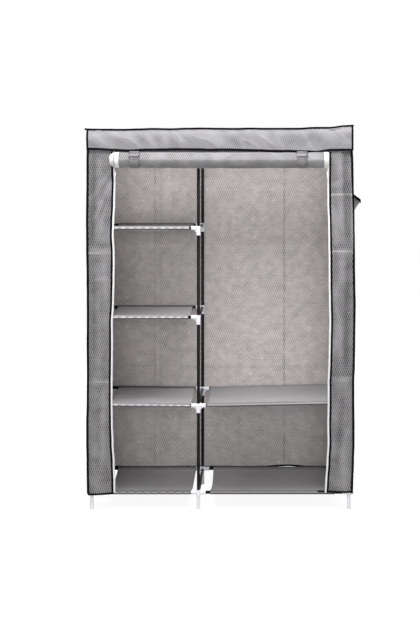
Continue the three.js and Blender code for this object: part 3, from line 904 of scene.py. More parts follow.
# The header's lower seam and its top edge, from their straight lines, along X
HEADER_BOTTOM = [(-608, 7), (-560, 6), (-490, 2), (-420, -1), (-340, 3), (-210, 5), (-120, 4), (-60, 2),
                 (0, 4), (90, 2), (150, 0), (200, -2), (280, -3), (360, -5), (400, -6), (470, 2), (570, 3)]
HEADER_TOP = [(-608, 0), (-580, -1), (-522, -1), (-452, -2), (-381, 0), (-311, 2), (-241, 1), (-170, 3),
              (-100, 4), (-29, 3), (41, 2), (112, 4), (182, 3), (252, 3), (323, 3), (393, 7), (464, 7),
              (534, 15), (570, 17)]
# Soft folds of the front strips: from (share of the width, height) to (share, height), width and depth, in mm
STRIP_FOLDS = {
    "left": [((0.74, 1590), (0.80, 1160), 15, -5.0), ((0.05, 1500), (0.9, 1360), 10, 3.2),
             ((0.0, 1470), (0.75, 1270), 11, 3.6), ((0.1, 1420), (0.62, 1190), 9, 2.6),
             ((0.35, 1120), (0.25, 880), 16, 3.0), ((0.78, 1100), (0.72, 620), 15, -3.5),
             ((0.3, 540), (0.45, 160), 16, 3.0)],
    "right": [((0.70, 1590), (0.74, 1180), 14, -6.5), ((0.95, 1480), (0.93, 1120), 6, 3.5),
              ((0.74, 1130), (0.68, 600), 15, -4.5), ((0.2, 1330), (0.3, 1150), 14, 3.0),
              ((0.25, 1000), (0.35, 700), 16, 2.5), ((0.6, 540), (0.4, 200), 16, -3.0)],
}
# Creases from packing: two on all panels and one more on each strip, then the strips' slopes and depths
PACKED_Z = (564 * MM, 1134 * MM)
THIRD_CREASE_Z = {"left": 1010 * MM, "right": 1382 * MM}
CREASE_TILT = (0.06, -0.05, 0.03)
CREASE_DEPTH = (2.6 * MM, 3.0 * MM, 2.2 * MM)
# How much the hem of each strip rises at its seam and drops at its corner, in mm, and how far up that starts
HEM_RISE = {"left": -2, "right": 5}
HEM_DROP = {"left": 11, "right": -2}
HEM_REACH = 0.12
STRIP_SEED = {"left": 31, "right": 57}
PANEL_SEED = {"left": 71, "right": 93}
STRIP_GRID = (400, 22)
SIDE_GRID = (170, 50)
BACK_GRID = (200, 150)
HEADER_GRID = (26, 260)
TOP_GRID_ROWS = 60
# How far below the top panel's edge a panel starts to be raised to meet it, and how far short of it each ends
TOP_REACH = 0.12
STRIP_GAP = 8 * MM
SIDE_GAP = 8 * MM
BACK_GAP = 9 * MM
# How far a strip falls back round its outer corner, and how near the corner that is
CORNER_FALL = 9 * MM
CORNER_ROUND = 26 * MM
# Where the back panel's hem is lifted
LIFTED_X = 290 * MM
LIFTED_HALF = 95 * MM


def seam_x(side, z):
    low, high = SEAM_Z
    bottom, top = SEAM_BOTTOM_X[side], SEAM_TOP_X[side]
    straight = bottom + (top - bottom) * ((np.asarray(z, float) - low) / (high - low))
    return straight + eased(SEAM_BOW[side], z)


def outer_x(side, z):
    return corner_x[side] + eased(CORNER_SWAY[side], z) - outward[side] * BINDING_WIDTH / 2


def on_strip(side, share, z):
    """The place at a share of a strip's width, at a height."""
    seam = seam_x(side, z)
    return seam + (outer_x(side, z) - seam) * share, z


def to_top(z, gap, x, share_back):
    """How far a panel's upper end is raised, so that it meets the top panel's edge."""
    missing = gap + eased(HEADER_TOP, x) * (1 - share_back) ** 2
    return missing * np.clip((z - TOP_Z + TOP_REACH) / (TOP_REACH - gap), 0, 1)


def soft_fold(x, z, start, end, width):
    """1 along the line between two points, fading to both sides and to its ends."""
    run = np.array(end) - np.array(start)
    length = np.linalg.norm(run)
    along = ((x - start[0]) * run[0] + (z - start[1]) * run[1]) / length ** 2
    off = ((x - start[0]) * run[1] - (z - start[1]) * run[0]) / length
    return swell(off, width) * np.clip(4 * along + 0.3, 0, 1) * np.clip(4 * (1 - along) + 0.3, 0, 1)


def strip_points(side):
    """The front strip from its seam to the outer corner, with its creases."""
    rows, columns = STRIP_GRID
    zz, tt = grid(np.linspace(hem_z + 4 * MM, TOP_Z - 10 * MM, rows), np.linspace(0, 1, columns))
    inner, outer = seam_x(side, np.minimum(zz, seam_top_z)), outer_x(side, zz)
    x = inner + (outer - inner) * tt
    from_corner = np.abs(outer - inner) * (1 - tt)
    fall = CORNER_FALL * np.exp(-((from_corner / CORNER_ROUND) ** 1.6))
    seed = STRIP_SEED[side]
    relief = hung(x, zz, seed) * arch(np.clip(tt, 0.02, 0.98)) ** 0.5
    belly = -3.0 * MM * arch(tt) * (0.6 + 0.4 * soft_noise(0 * zz, zz, 1, 0.35, seed + 3))
    for (low_share, low_z), (high_share, high_z), wide, deep in STRIP_FOLDS[side]:
        start, end = on_strip(side, low_share, low_z * MM), on_strip(side, high_share, high_z * MM)
        relief = relief - deep * MM * soft_fold(x, zz, start, end, wide * MM)
    for fold_z, tilt, depth in zip((*PACKED_Z, THIRD_CREASE_Z[side]), CREASE_TILT, CREASE_DEPTH):
        off = zz - fold_z - tilt * (x - inner)
        relief = relief - depth * ridge(off, 9 * MM) * (0.35 + 0.65 * arch(tt))
        relief = relief + 0.5 * depth * ridge(off - 24 * MM, 10 * MM) * arch(tt)
    y = front_y + fall + belly + relief
    low = np.clip((hem_z + HEM_REACH - zz) / HEM_REACH, 0, 1)
    z = zz + low * MM * (HEM_RISE[side] * (1 - tt) - HEM_DROP[side] * tt) + to_top(zz, STRIP_GAP, x, 0.0)
    return joined(x, y, z), joined(x, zz)


def side_points(side):
    """The side panel from the front corner to the back seam, slack between its poles."""
    rows, columns = SIDE_GRID
    zz, tt = grid(np.linspace(hem_z, TOP_Z - SIDE_GAP, rows), np.linspace(0, 1, columns))
    first_y, last_y = front_y + 10.5 * MM, back_y - 2 * MM
    y = first_y + (last_y - first_y) * tt
    seed = PANEL_SEED[side]
    between = arch(tt)
    slack = 5 * MM * between * (1 + 0.5 * soft_noise(y, zz, 0.3, 0.4, seed + 2))
    relief = hung(y, zz, seed, 1.2) * between ** 0.5
    for fold_z in PACKED_Z:
        relief = relief + 3 * MM * ridge(zz - fold_z, 12 * MM) * between ** 0.3
    relief = relief + 2 * MM * ridge(y - (front_y + back_y) / 2, 14 * MM)
    sway = eased(CORNER_SWAY[side], zz) * (1 - tt) ** 2
    tuck = 4 * MM * (np.exp(-(y - first_y) / (9 * MM)) + np.exp(-(last_y - y) / (9 * MM)))
    x = corner_x[side] + sway - outward[side] * (slack + relief + tuck)
    return joined(x, y, zz + to_top(zz, SIDE_GAP, corner_x[side], tt)), joined(y, zz)


def back_points():
    """The back panel, creased in quarters across and in thirds up by its packing."""
    rows, columns = BACK_GRID
    zz, xx = grid(np.linspace(hem_z + 7 * MM, TOP_Z - BACK_GAP, rows),
                  np.linspace(left_x + 2 * MM, right_x - 2 * MM, columns))
    middle = (left_x + right_x) / 2
    quarter = (right_x - left_x) / 4
    edge = 1 - np.abs((xx - middle) / (2 * quarter)) ** 10
    relief = 0.55 * hung(xx, zz, 11)
    for off, width, depth in (
            (xx - middle + quarter, 7 * MM, 2.2 * MM), (xx - middle - quarter, 6 * MM, 2.6 * MM),
            (xx - middle, 9 * MM, -2.0 * MM), (zz - PACKED_Z[0], 7 * MM, 2.0 * MM),
            (zz - PACKED_Z[1], 8 * MM, -2.4 * MM)):
        relief = relief + depth * ridge(off, width)
    # Beside a pole the panel has no room to stand in
    free = 1.0
    for pole_x in column_x.values():
        free = free * (1 - swell(xx - pole_x, 20 * MM))
    relief = relief * free + np.minimum(relief, 0.8 * MM) * (1 - free)
    y = back_y - 2.0 * MM - relief * edge - 2 * MM * edge
    lifted = swell(xx - LIFTED_X, LIFTED_HALF) * np.clip((hem_z + 0.1 - zz) / 0.1, 0, 1)
    z = zz + 9 * MM * lifted ** 1.5 + to_top(zz, BACK_GAP, xx, 1.0)
    return joined(xx, y - 5 * MM * lifted, z), joined(xx, zz)


def hem_tail(end):
    """The loose end of the right hem's tape, which turns in behind the zipper."""
    reach, back, rise = mm([(-14, 0, 10, 22, 38), (6.2, 6.2, 6.4, 7.0, 8.0), (-1.0, -1.5, -1.5, -1.0, 0.0)])
    path = joined(end[0] - reach, front_y + back, end[2] + rise)
    return binding("front_hem_tail", path, (0, 0, -1), width=8 * MM, seed=23)


def build_cover():
    for side in SIDES:
        sign = outward[side]
        nodes = [f"cover_{side}"]
        strip, strip_flat = strip_points(side)
        panel, panel_flat = side_points(side)
        front = cloth(f"front_strip_{side}", strip, strip_flat, (0, -1, 0), strip_cloth[side], inner_cloth,
                      nodes)
        wall = cloth(f"side_panel_{side}", panel, panel_flat, (sign, 0, 0), outer_cloth, inner_cloth, nodes)
        hem_line = strip[0] + [0, 0, 1 * MM]
        front_hem = binding(f"front_hem_{side}", hem_line, (0, 0, -1), width=9.5 * MM, seed=3)
        side_hem = binding(f"side_hem_{side}", panel[0], (0, 0, -1), seed=4)
        corner_z = panel[:, 0, 2]
        edge_y = np.interp(corner_z, strip[:, -1, 2], strip[:, -1, 1]) - 0.9 * MM
        corner = joined(outer_x(side, corner_z) - sign * 1 * MM, edge_y, corner_z)
        corner_fin = binding(f"corner_binding_{side}", corner, (sign, 0.1, 0), width=11 * MM, seed=5)
        rear = panel[:, -1] + [sign * 0.5 * MM, 2.5 * MM, 0]
        rear_fin = binding(f"rear_binding_{side}", rear, (sign * 0.6, 0.8, 0), seed=6)
        inner = strip[:, 0] + [sign * 5 * MM, -0.6 * MM, 0]
        inner = inner[inner[:, 2] < header_z - 2 * MM]
        trims = [front_hem, binding(f"seam_binding_{side}", inner, (1, 0, 0), seed=7)]
        if side == "right":
            trims.append(hem_tail(hem_line[0]))
    back, back_flat = back_points()
    rear_panel = cloth("back_panel", back, back_flat, (0, 1, 0), outer_cloth, inner_cloth, ["cover_back"],
                       "back_cloth")
    back_hem = binding("back_hem", back[0], (0, 0, -1), seed=8)
    rows, columns = HEADER_GRID
    x = np.linspace(left_x + 3 * MM, right_x - 4 * MM, columns)
    build_header(x, rows)
    build_top(x)


def build_header(x, rows):
    """The front of the cap, and the bindings round it."""
    tt, xx = grid(np.linspace(0, 1, rows), x)
    top = TOP_Z + eased(HEADER_TOP, xx)
    bottom = header_z + eased(HEADER_BOTTOM, xx)
    z = top + (bottom - top) * tt
    drape = 4.5 * MM * soft_noise(xx + 0.8 * z, z, 0.075, 0.2, 141) + 3 * MM * crumple(xx + z, z, 0.06, 145)
    drape = drape + 3 * MM * soft_noise(xx - 0.9 * z, z, 0.12, 0.16, 148)
    pinches = 2.2 * MM * soft_noise(xx + 0.5 * z, z, 0.035, 0.05, 150)
    drape = drape + pinches * soft_noise(xx, z, 0.2, 0.2, 149)
    round_over = 7 * MM * swell(z - top, 14 * MM)
    lean = -3.5 * MM * tt
    y = header_y + round_over + lean - drape * arch(np.clip(tt, 0.05, 0.95)) ** 0.6
    header = cloth("header", joined(xx, y, z), joined(xx, z), (0, -1, 0), lit_header_cloth, inner_cloth,
                   ["cover_cap"])
    ear = np.array([[x[0] - 9 * MM, y[0][0], top[0][0] + 2 * MM]])
    upper = np.concatenate([ear, joined(x, y[0] - 1.5 * MM, top[0] + 1 * MM)])
    lower = joined(x, y[-1] - 0.8 * MM, bottom[-1] + 1.5 * MM)
    trims = [binding("header_top_binding", upper, (0, -0.3, 1), seed=14),
             binding("header_seam_binding", lower, (0, 0, 1), width=10 * MM, seed=15)]
    for side, column in (("left", 0), ("right", -1)):
        edge = joined(xx[:, column] - outward[side] * 3.5 * MM, y[:, column] - 1.2 * MM, z[:, column])
        trims.append(binding(f"header_side_binding_{side}", edge, (outward[side], 0.2, 0), seed=18))


def build_top(x):
    """The top of the cap, which dips between its bars, and the bindings round it."""
    dd, xx = grid(np.linspace(0, 1, TOP_GRID_ROWS), x)
    front_edge, back_edge = header_y + 7 * MM, back_y - 1 * MM
    y = front_edge + (back_edge - front_edge) * dd
    middle_x = (left_x + right_x) / 2
    half = (right_x - left_x) / 2
    edge_x = 1 - np.abs((xx - middle_x) / half) ** 6
    dip = 7 * MM * arch(dd) * edge_x
    bars = 5 * MM * swell(xx - column_x["centre"], 45 * MM) * arch(dd)
    relief = hung(y, xx, 171, 1.1) * arch(dd) ** 0.4 * edge_x
    z = TOP_Z + eased(HEADER_TOP, xx) * (1 - dd) ** 2 - dip + bars - relief
    for crease_x in (-0.25, 0.0, 0.25):
        z = z - 2 * MM * ridge(xx - middle_x - crease_x * 2 * half, 9 * MM) * arch(dd)
    top_panel = cloth("top_panel", joined(xx, y, z), joined(xx, y), (0, 0, 1), outer_cloth, inner_cloth,
                      ["cover_cap"])
    rear = joined(x, y[-1] + 1 * MM, z[-1] + 0.5 * MM)
    trims = [binding("top_rear_binding", rear, (0, 0.7, 0.7), seed=16)]
    for side, column in (("left", 0), ("right", -1)):
        edge = joined(xx[:, column], y[:, column], z[:, column]) + [outward[side] * 1.5 * MM, 0, 0.5 * MM]
        trims.append(binding(f"top_side_binding_{side}", edge, (outward[side], 0, 0.8), seed=17))


# Side pocket

POCKET_GRID = 60
POCKET_GAPE = 43 * MM
POCKET_DROOP = 28 * MM
# How far the pocket stands off its panel, and how much its gape leans to one end
POCKET_STAND = 1.6 * MM
POCKET_SKEW = 0.28
# The share of its height from which the pocket gapes, and the share over which it opens
GAPE_START = 0.76
GAPE_SHARE = 0.24


def build_pocket():
    low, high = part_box("side_pocket")
    uu, aa = grid(np.linspace(0, 1, POCKET_GRID) ** 0.8, np.linspace(-1, 1, POCKET_GRID))
    skew = aa + POCKET_SKEW * (1 - aa * aa)
    bulge = np.clip(1 - skew * skew, 0, 1) ** 0.85
    gape = POCKET_GAPE * bulge * (0.07 * uu + 0.93 * np.clip((uu - GAPE_START) / GAPE_SHARE, 0, 1) ** 1.2)
    droop = POCKET_DROOP * bulge * uu ** 4
    z = low.z + (high.z - low.z) * uu - droop
    y = (high.y + low.y) / 2 + aa * ((high.y - low.y) / 2)
    sewn = np.sqrt(np.clip(1 - aa * aa, 0, 1)) * np.clip(uu * 6, 0, 1)
    relief = 1.6 * hung(y, z, 203) * sewn
    points = joined(right_x + POCKET_STAND + gape + np.abs(relief) * 0.7, y, z)
    pocket = cloth("side_pocket_cloth", points, joined(y, z), (1, 0, 0), pocket_cloth, inner_cloth,
                   ["side_pocket"])
    trims = [binding("pocket_mouth_binding", points[-1], (0, 0, 1), width=13 * MM, seed=21)]
    for name, edge, over in (("front", points[:, 0], (0, -1, 0)), ("back", points[:, -1], (0, 1, 0)),
                             ("bottom", points[0], (0, 0, -1))):
        trims.append(binding(f"pocket_{name}_binding", edge + [0.8 * MM, 0, 0], over, seed=22))


# Rolled door

ROLL_BODY = "door_roll"
# Where the roll is pressed flat and pinched, in degrees from its back over its top
FACETS = (138, 222)
FACET_HALF = 42
PINCH = 249
FACET_DEPTH = 4.4 * MM
PINCH_DEPTH = 3.0 * MM
PINCH_WIDTH = 3 * MM
ROLL_SAG = 1.5 * MM
ROLL_PITCH = 2.9 * MM
ROLL_CORE = 6 * MM
CONE_RADIUS = 21 * MM
CONE_LENGTH = 20 * MM
DOOR_TAPE = {"left": 23 * MM, "right": 20 * MM}
STEPS_A_TURN = 44
DOOR_COLUMNS = 130
TAPE_COLUMNS = 8
FALL_ROWS = 5
STRAP_HALF = 22 * MM
# The door's sewn edge stays on the header seam, and its swinging part starts this far below
HEAD_OVERLAP = 4.2 * MM
roll_radius = 36.8 * MM
roll_y = -223.0 * MM
roll_z = 1538 * MM
roll_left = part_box("rolled_door")[0].x + CONE_LENGTH + 5 * MM
roll_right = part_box("rolled_door")[1].x
strap_x = {side: centre_of(f"roll_strap_{side}").x for side in SIDES}


def roll_path():
    """Angle, radius and length run of the rolled door's spiral, from its outermost turn in."""
    turns = (roll_radius - ROLL_CORE) / ROLL_PITCH
    k = np.arange(int(turns * STEPS_A_TURN))
    angle = -2 * math.pi * k / STEPS_A_TURN
    radius = roll_radius - CLOTH - ROLL_PITCH * k / STEPS_A_TURN
    run = np.concatenate([[0], np.cumsum(radius[:-1] * 2 * math.pi / STEPS_A_TURN)])
    return angle, radius, run


def roll_points(x_low, x_high, columns):
    """A stretch of the door's spiral between two lines of X, with the short fall from the header seam."""
    angle, radius, run = roll_path()
    aa, tt = grid(angle, np.linspace(0, 1, columns))
    rr, along = (np.broadcast_to(line[:, None], aa.shape) for line in (radius, run))
    inward = np.clip((roll_radius - rr) / (roll_radius - CONE_RADIUS), 0, 1)
    x = x_low + (x_high - x_low) * tt - CONE_LENGTH * inward
    outermost = np.clip(1 - (roll_radius - rr) / (4 * ROLL_PITCH), 0, 1)

    def turned_from(degrees):
        return np.radians((np.degrees(aa) - degrees + 180) % 360 - 180)

    dents = 0.0
    for at in strap_x.values():
        dents = dents + 3.2 * MM * swell(x - at, 30 * MM)
        dents = dents + 2.2 * MM * swell(x - at, 38 * MM) * crumple(x, along, 0.022, 311)
    ripple = 1.6 * MM * soft_noise(x, along, 0.05, 0.09, 301)
    ripple = ripple + 1.2 * MM * soft_noise(x + along, along, 0.1, 0.05, 305)
    ripple = ripple + 1.6 * MM * crumple(x, along, 0.05, 309)
    facets = 0.0
    for facet in FACETS:
        away = turned_from(facet) / math.radians(FACET_HALF)
        facets = facets + FACET_DEPTH * np.cos(np.clip(away, -1, 1) * math.pi / 2)
    pinched = turned_from(PINCH) * roll_radius + 2 * MM * soft_noise(x, 0 * x, 0.12, 1, 313)
    facets = facets + PINCH_DEPTH * swell(pinched, PINCH_WIDTH)
    rr = rr - outermost * (dents + np.abs(ripple) + facets)
    sag = -ROLL_SAG * np.sin(math.pi * (x - roll_left) / (roll_right - roll_left))
    y = roll_y + rr * np.cos(aa)
    z = roll_z + sag + rr * np.sin(aa)
    fall_z = np.linspace(seam_top_z - HEAD_OVERLAP, roll_z + 2 * MM, FALL_ROWS + 1)[:-1]
    fall = joined(x[:1], y[:1] + 0.2 * MM, fall_z[:, None])
    points = np.concatenate([fall, joined(x, y, z)])
    rows = np.concatenate([fall_z - roll_z, -run])
    return points, joined(points[:, :, 0], rows[:, None])


def build_door_head():
    """The door's upper edge, sewn behind the header's lower binding."""
    x = np.linspace(roll_left, roll_right, 160)
    seam_z = header_z + eased(HEADER_BOTTOM, x)
    hang_y = header_y + 0.8 * MM
    under_z, low_z = seam_z - 3 * MM, seam_top_z - 8 * MM
    rows = [(header_y - 2.0 * MM, seam_z + 3 * MM), (header_y - 1.2 * MM, seam_z), (hang_y, under_z),
            (hang_y, (under_z + low_z) / 2), (hang_y, low_z)]
    points = np.stack([joined(x, y, z) for y, z in rows])
    head = cloth("door_head", points, points[:, :, [0, 2]], (0, -1, 0), door_cloth, door_cloth)


def build_roll():
    build_door_head()
    inner = {"left": roll_left + DOOR_TAPE["left"], "right": roll_right - DOOR_TAPE["right"]}
    door, flat = roll_points(inner["left"], inner["right"], DOOR_COLUMNS)
    rolled = cloth("rolled_door_cloth", door, flat, (0, 0, 0), door_cloth, door_cloth, ["rolled_door"],
                   body=ROLL_BODY)
    for side, outer in (("left", roll_left), ("right", roll_right)):
        tape, tape_flat = roll_points(*sorted((inner[side], outer)), TAPE_COLUMNS)
        piece = cloth(f"door_zipper_tape_{side}", tape, tape_flat, (0, 0, 0), white_tape, white_tape,
                      ["rolled_door"], "zipper_tape", ROLL_BODY, 1.0 * MM)
    # A black cord round the tape's end stands in for the shade line between its turns: painted shade
    edge = joined(roll_left + 1 * MM, *arc_path(roll_radius + 0.3 * MM, 60, 285, 60).T)
    shade_cord = sweep("door_tape_shade_cord", edge, (1, 0, 0), rounded(2.0 * MM, 1.6 * MM, 8), black_thread)
    place(shade_cord, "zipper_tape", ROLL_BODY)
    for side in SIDES:
        build_strap(side)


def arc_path(radius, start, end, steps):
    turns = np.radians(np.linspace(start, end, steps))
    return joined(roll_y + radius * np.cos(turns), roll_z + radius * np.sin(turns))


def build_strap(side):
    """A strap from the header seam up the roll's back and front, and the tab that closes over it."""
    centre, half = strap_x[side], STRAP_HALF
    radius = roll_radius - 0.8 * MM
    start_z = seam_top_z - 6 * MM
    under = np.concatenate([[[roll_y + radius, start_z]], arc_path(radius, 0, -215, 60)])
    top = np.concatenate([[[roll_y + 31 * MM, start_z]], arc_path(radius + 1.2 * MM, 97, 161, 24)])
    for name, path, width in (("under", under, half - 2 * MM), ("tab", top, half)):
        run = run_along(path)
        x = centre + np.broadcast_to(np.linspace(-1, 1, 9) * width, (len(path), 9))
        lift = 0.5 * MM * soft_noise(x, run[:, None] + 0 * x, 0.02, 0.03, 401)
        out = path - [roll_y, roll_z]
        out = out / np.hypot(*out.T)[:, None]
        yz = path[:, None] + lift[:, :, None] * out[:, None]
        flat = joined(x, run[:, None])
        piece = cloth(f"roll_{name}_{side}", joined(x, yz[..., 0], yz[..., 1]), flat, (0, 0, 0), door_cloth,
                      door_cloth, [f"roll_strap_{side}"], body=ROLL_BODY, thickness=1.1 * MM)
    # Black cords along the tab's lower and side edges stand in for the shadow under them: painted shadow
    hem = joined(np.array([centre - half, centre, centre + half]), *top[-1])
    side_edge = joined(centre + half, *top[-14:].T)
    for name, path, across in (("lower", hem, (0, 0.3, 1)), ("side", side_edge, (1, 0, 0))):
        edge = sweep(f"tab_{name}_edge_{side}", path, across, rounded(3.4 * MM, 2.4 * MM, 8), black_thread)
        place(edge, "cover_cloth", ROLL_BODY)
    for name, turn in (("upper", 128), ("lower", 156)):
        end = arc_path(radius + 2.5 * MM, turn, turn, 1)[0]
        out = np.array([0, math.cos(math.radians(turn)), math.sin(math.radians(turn))])
        row = joined(centre + np.linspace(-1, 1, 12) * (half - 3 * MM), *end)
        stitch_row(f"tab_{name}_stitches_{side}", row, out, black_thread, "cover_cloth", ROLL_BODY, 3.2 * MM)


# Zippers. Outlines are in millimetres, in X and Z.

TAPE_WIDTH = 5.6 * MM
TAPE_Z = (76 * MM, 1576 * MM)
TEETH_Z = (78 * MM, 1574 * MM)
TOOTH_PITCH = 3.0 * MM
# How far the teeth's middle stands from the seam
COIL_INSET = 6.2 * MM
TOOTH = [(-1.5, -0.75), (-0.6, -0.95), (0.7, -0.7), (1.5, -1.0), (1.9, 0.0), (1.5, 1.0), (0.7, 0.7),
         (-0.6, 0.95), (-1.5, 0.75)]
# How far in front of the tape each ring of a tooth's outline lies, and its share of the outline
TOOTH_RINGS = ((-1.5 * MM, 0.82), (-1.1 * MM, 1.0), (1.1 * MM, 1.0), (1.5 * MM, 0.82))
SHIELD = [(-3.0, -7.4), (3.0, -7.4), (4.2, -5.5), (5.0, 0.5), (5.0, 4.6), (3.9, 7.0), (1.4, 7.4), (-1.4, 7.4),
          (-3.9, 7.0), (-5.0, 4.6), (-5.0, 0.5), (-4.2, -5.5)]
SHIELD_Y = 3.2 * MM
BRIDGE = [(-1.3, 1.5), (1.3, 1.5), (2.2, 7.0), (-2.2, 7.0)]
LIP = [(0, -4.0), (1.1, -4.0), (1.1, 4.4), (0, 4.4)]
EAR = [(2.6, -1.6), (3.6, -1.6), (3.6, 1.6), (2.6, 1.6)]
BAR_HALF = [(0, -3.4), (0.8, -3.4)]
TONGUE = [(-1.6, -2.0), (-1.7, -5.0), (-3.0, -8.0), (-3.2, -19.5), (-2.2, -21.6), (0, -22), (2.2, -21.6),
          (3.2, -19.5), (3.0, -8.0), (1.7, -5.0), (1.6, -2.0)]
EYE_HALF = [(1.35, -1.7), (2.3, -1.7), (2.5, -1.4)]
GRIP = [(-2.0, -0.35), (2.0, -0.35), (2.0, 0.35), (-2.0, 0.35)]


def coil_x(side, z):
    return seam_x(side, z) - outward[side] * COIL_INSET


def build_zippers():
    for side in SIDES:
        toward = -outward[side]
        nodes = [f"zipper_{side}"]
        z = np.linspace(*TAPE_Z, 220)
        path = joined(seam_x(side, z) + toward * TAPE_WIDTH / 2, front_y, z)
        section = rounded(TAPE_WIDTH + 1 * MM, 0.9 * MM, 12)
        tape = sweep(f"zipper_tape_{side}", path, (1, 0, 0), section, white_tape)
        place(tape, "zipper_tape", nodes=nodes)
        place(tooth_row(side, toward), "zipper_tape", nodes=nodes)
        build_slider(side)


def tooth_row(side, toward):
    """Moulded teeth clamped on the tape's free edge."""
    shape = mm(TOOTH)
    verts, faces = [], []
    for z in np.arange(*TEETH_Z, TOOTH_PITCH):
        centre = coil_x(side, z)
        faces += ringed_faces(len(verts), len(shape), len(TOOTH_RINGS))
        for depth, grow in TOOTH_RINGS:
            verts += [(float(centre + toward * a), front_y + depth, float(z + b)) for a, b in shape * grow]
    mesh = new_mesh(f"zipper_teeth_{side}", verts, faces)
    made = add_object(f"zipper_teeth_{side}", mesh, plastic)
    face_outwards(mesh)
    return made


def plate(outline, thickness, bevel, y=0.0, z=0.0):
    """A flat plate with rounded edges, from an outline in X and Z, centred on Y and then moved."""
    solid = bmesh.new()
    face = solid.faces.new([solid.verts.new((a, -thickness / 2, b)) for a, b in outline])
    for vert in bmesh.ops.extrude_face_region(solid, geom=[face])["geom"]:
        if isinstance(vert, bmesh.types.BMVert):
            vert.co.y += thickness
    bmesh.ops.recalc_face_normals(solid, faces=solid.faces)
    bmesh.ops.bevel(solid, geom=list(solid.edges), offset=bevel, segments=2, profile=0.6, affect="EDGES")
    return moved(solid, y, z)


def moved(solid, y, z):
    bmesh.ops.translate(solid, verts=solid.verts, vec=(0, y, z))
    return solid


def merged(solids):
    """One bmesh that holds several closed bodies."""
    whole = bmesh.new()
    for solid in solids:
        mesh = bpy.data.meshes.new("part")
        solid.to_mesh(mesh)
        solid.free()
        whole.from_mesh(mesh)
        bpy.data.meshes.remove(mesh)
    return whole


def build_slider(side):
    """The slider's two shield plates, its bridge, the bar over it, and the pull that hangs on the bar."""
    at = centre_of(f"zip_slider_{side}")
    x = float(coil_x(side, at.z))
    low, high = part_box(f"zip_pull_{side}")
    pivot_y, pivot_z = (low.y + high.y) / 2, high.z - 2.5 * MM
    rise = pivot_z - at.z
    parts = [plate(mm(SHIELD), 1.5 * MM, 0.4 * MM, y) for y in (-SHIELD_Y, SHIELD_Y)]
    parts.append(plate(mm(BRIDGE), 5.4 * MM, 0.3 * MM))
    for wall in (-1, 1):
        lips = [(a * MM * wall + wall * 4.4 * MM, b * MM) for a, b in LIP]
        parts.append(plate(lips[::wall], 2.0 * MM, 0.25 * MM, -2.2 * MM))
    parts.append(moved(lathe(mirrored(mm(BAR_HALF).tolist()), 12, "x"), pivot_y - front_y, rise))
    for wall in (-1, 1):
        ear = [(wall * a * MM, rise + b * MM) for a, b in EAR]
        parts.append(plate(ear[::wall], 4.6 * MM, 0.25 * MM, -5.9 * MM))
    slider = to_object(f"slider_{side}", merged(parts), zinc, sharp=40)
    slider.location = (x, front_y, at.z)
    place(slider, "slider_metal", f"slider_{side}", [f"zip_slider_{side}"])
    parts = [plate(mm(TONGUE), 1.3 * MM, 0.3 * MM), lathe(mirrored(mm(EYE_HALF).tolist()), 20, "x")]
    parts += [plate(mm(GRIP), 1.9 * MM, 0.15 * MM, z=-(11.5 + 1.8 * k) * MM) for k in range(4)]
    pull = to_object(f"pull_{side}", merged(parts), zinc, sharp=40)
    pull.location = (x, pivot_y, pivot_z)
    place(pull, "slider_metal", f"pull_{side}", [f"zip_pull_{side}"])


# Shelves

SLEEVE_RADIUS = 8.3 * MM
SLEEVE_TURN = (292, 68)
SHELF_SAG = 17 * MM
# How far inside its bar a shelf's sleeve is sewn
SLEEVE_SEAM = 20 * MM
# How far a shelf's ends are drawn in between its bars, and how far along it that reaches
PULL_IN = 2.5 * MM
PULL_REACH = 0.08
# Pitch and depth of the puckers over the bars of each bay's shelves
PUCKERS = {"left": (35 * MM, 0.45), "right": (8 * MM, 0.18)}
# The stretch of a shelf's section in which its seams lie
SEAM_SEARCH = slice(34, 80)


def shelf_section(half, sag, pucker):
    """(y, z) points of a shelf about its bars: tail, front sleeve, sagging sheet, back sleeve, tail."""
    radius = SLEEVE_RADIUS + pucker
    turns = np.radians(np.linspace(*SLEEVE_TURN, 30))
    sleeve = joined(-half + radius * np.cos(turns), radius * np.sin(turns))
    edge_y, edge_z = -sleeve[-1][0], sleeve[-1][1]

    def sheet_z(s):
        return edge_z - (edge_z + sag) * (1 - np.abs(s) ** 2.2)

    s = np.linspace(1, -1, 44)[1:-1]
    sheet = joined(-s * edge_y, sheet_z(s))
    seam_y = -half + SLEEVE_SEAM
    seam_z = sheet_z(-seam_y / edge_y) - 0.9 * MM
    t = np.linspace(0, 1, 7)[:-1, None]
    tail = np.array([[seam_y + 6 * MM, seam_z - 1.2 * MM]]) * (1 - t) + sleeve[0] * t
    front = np.concatenate([tail, sleeve])
    return np.concatenate([front, sheet, front[::-1] * [-1, 1]])


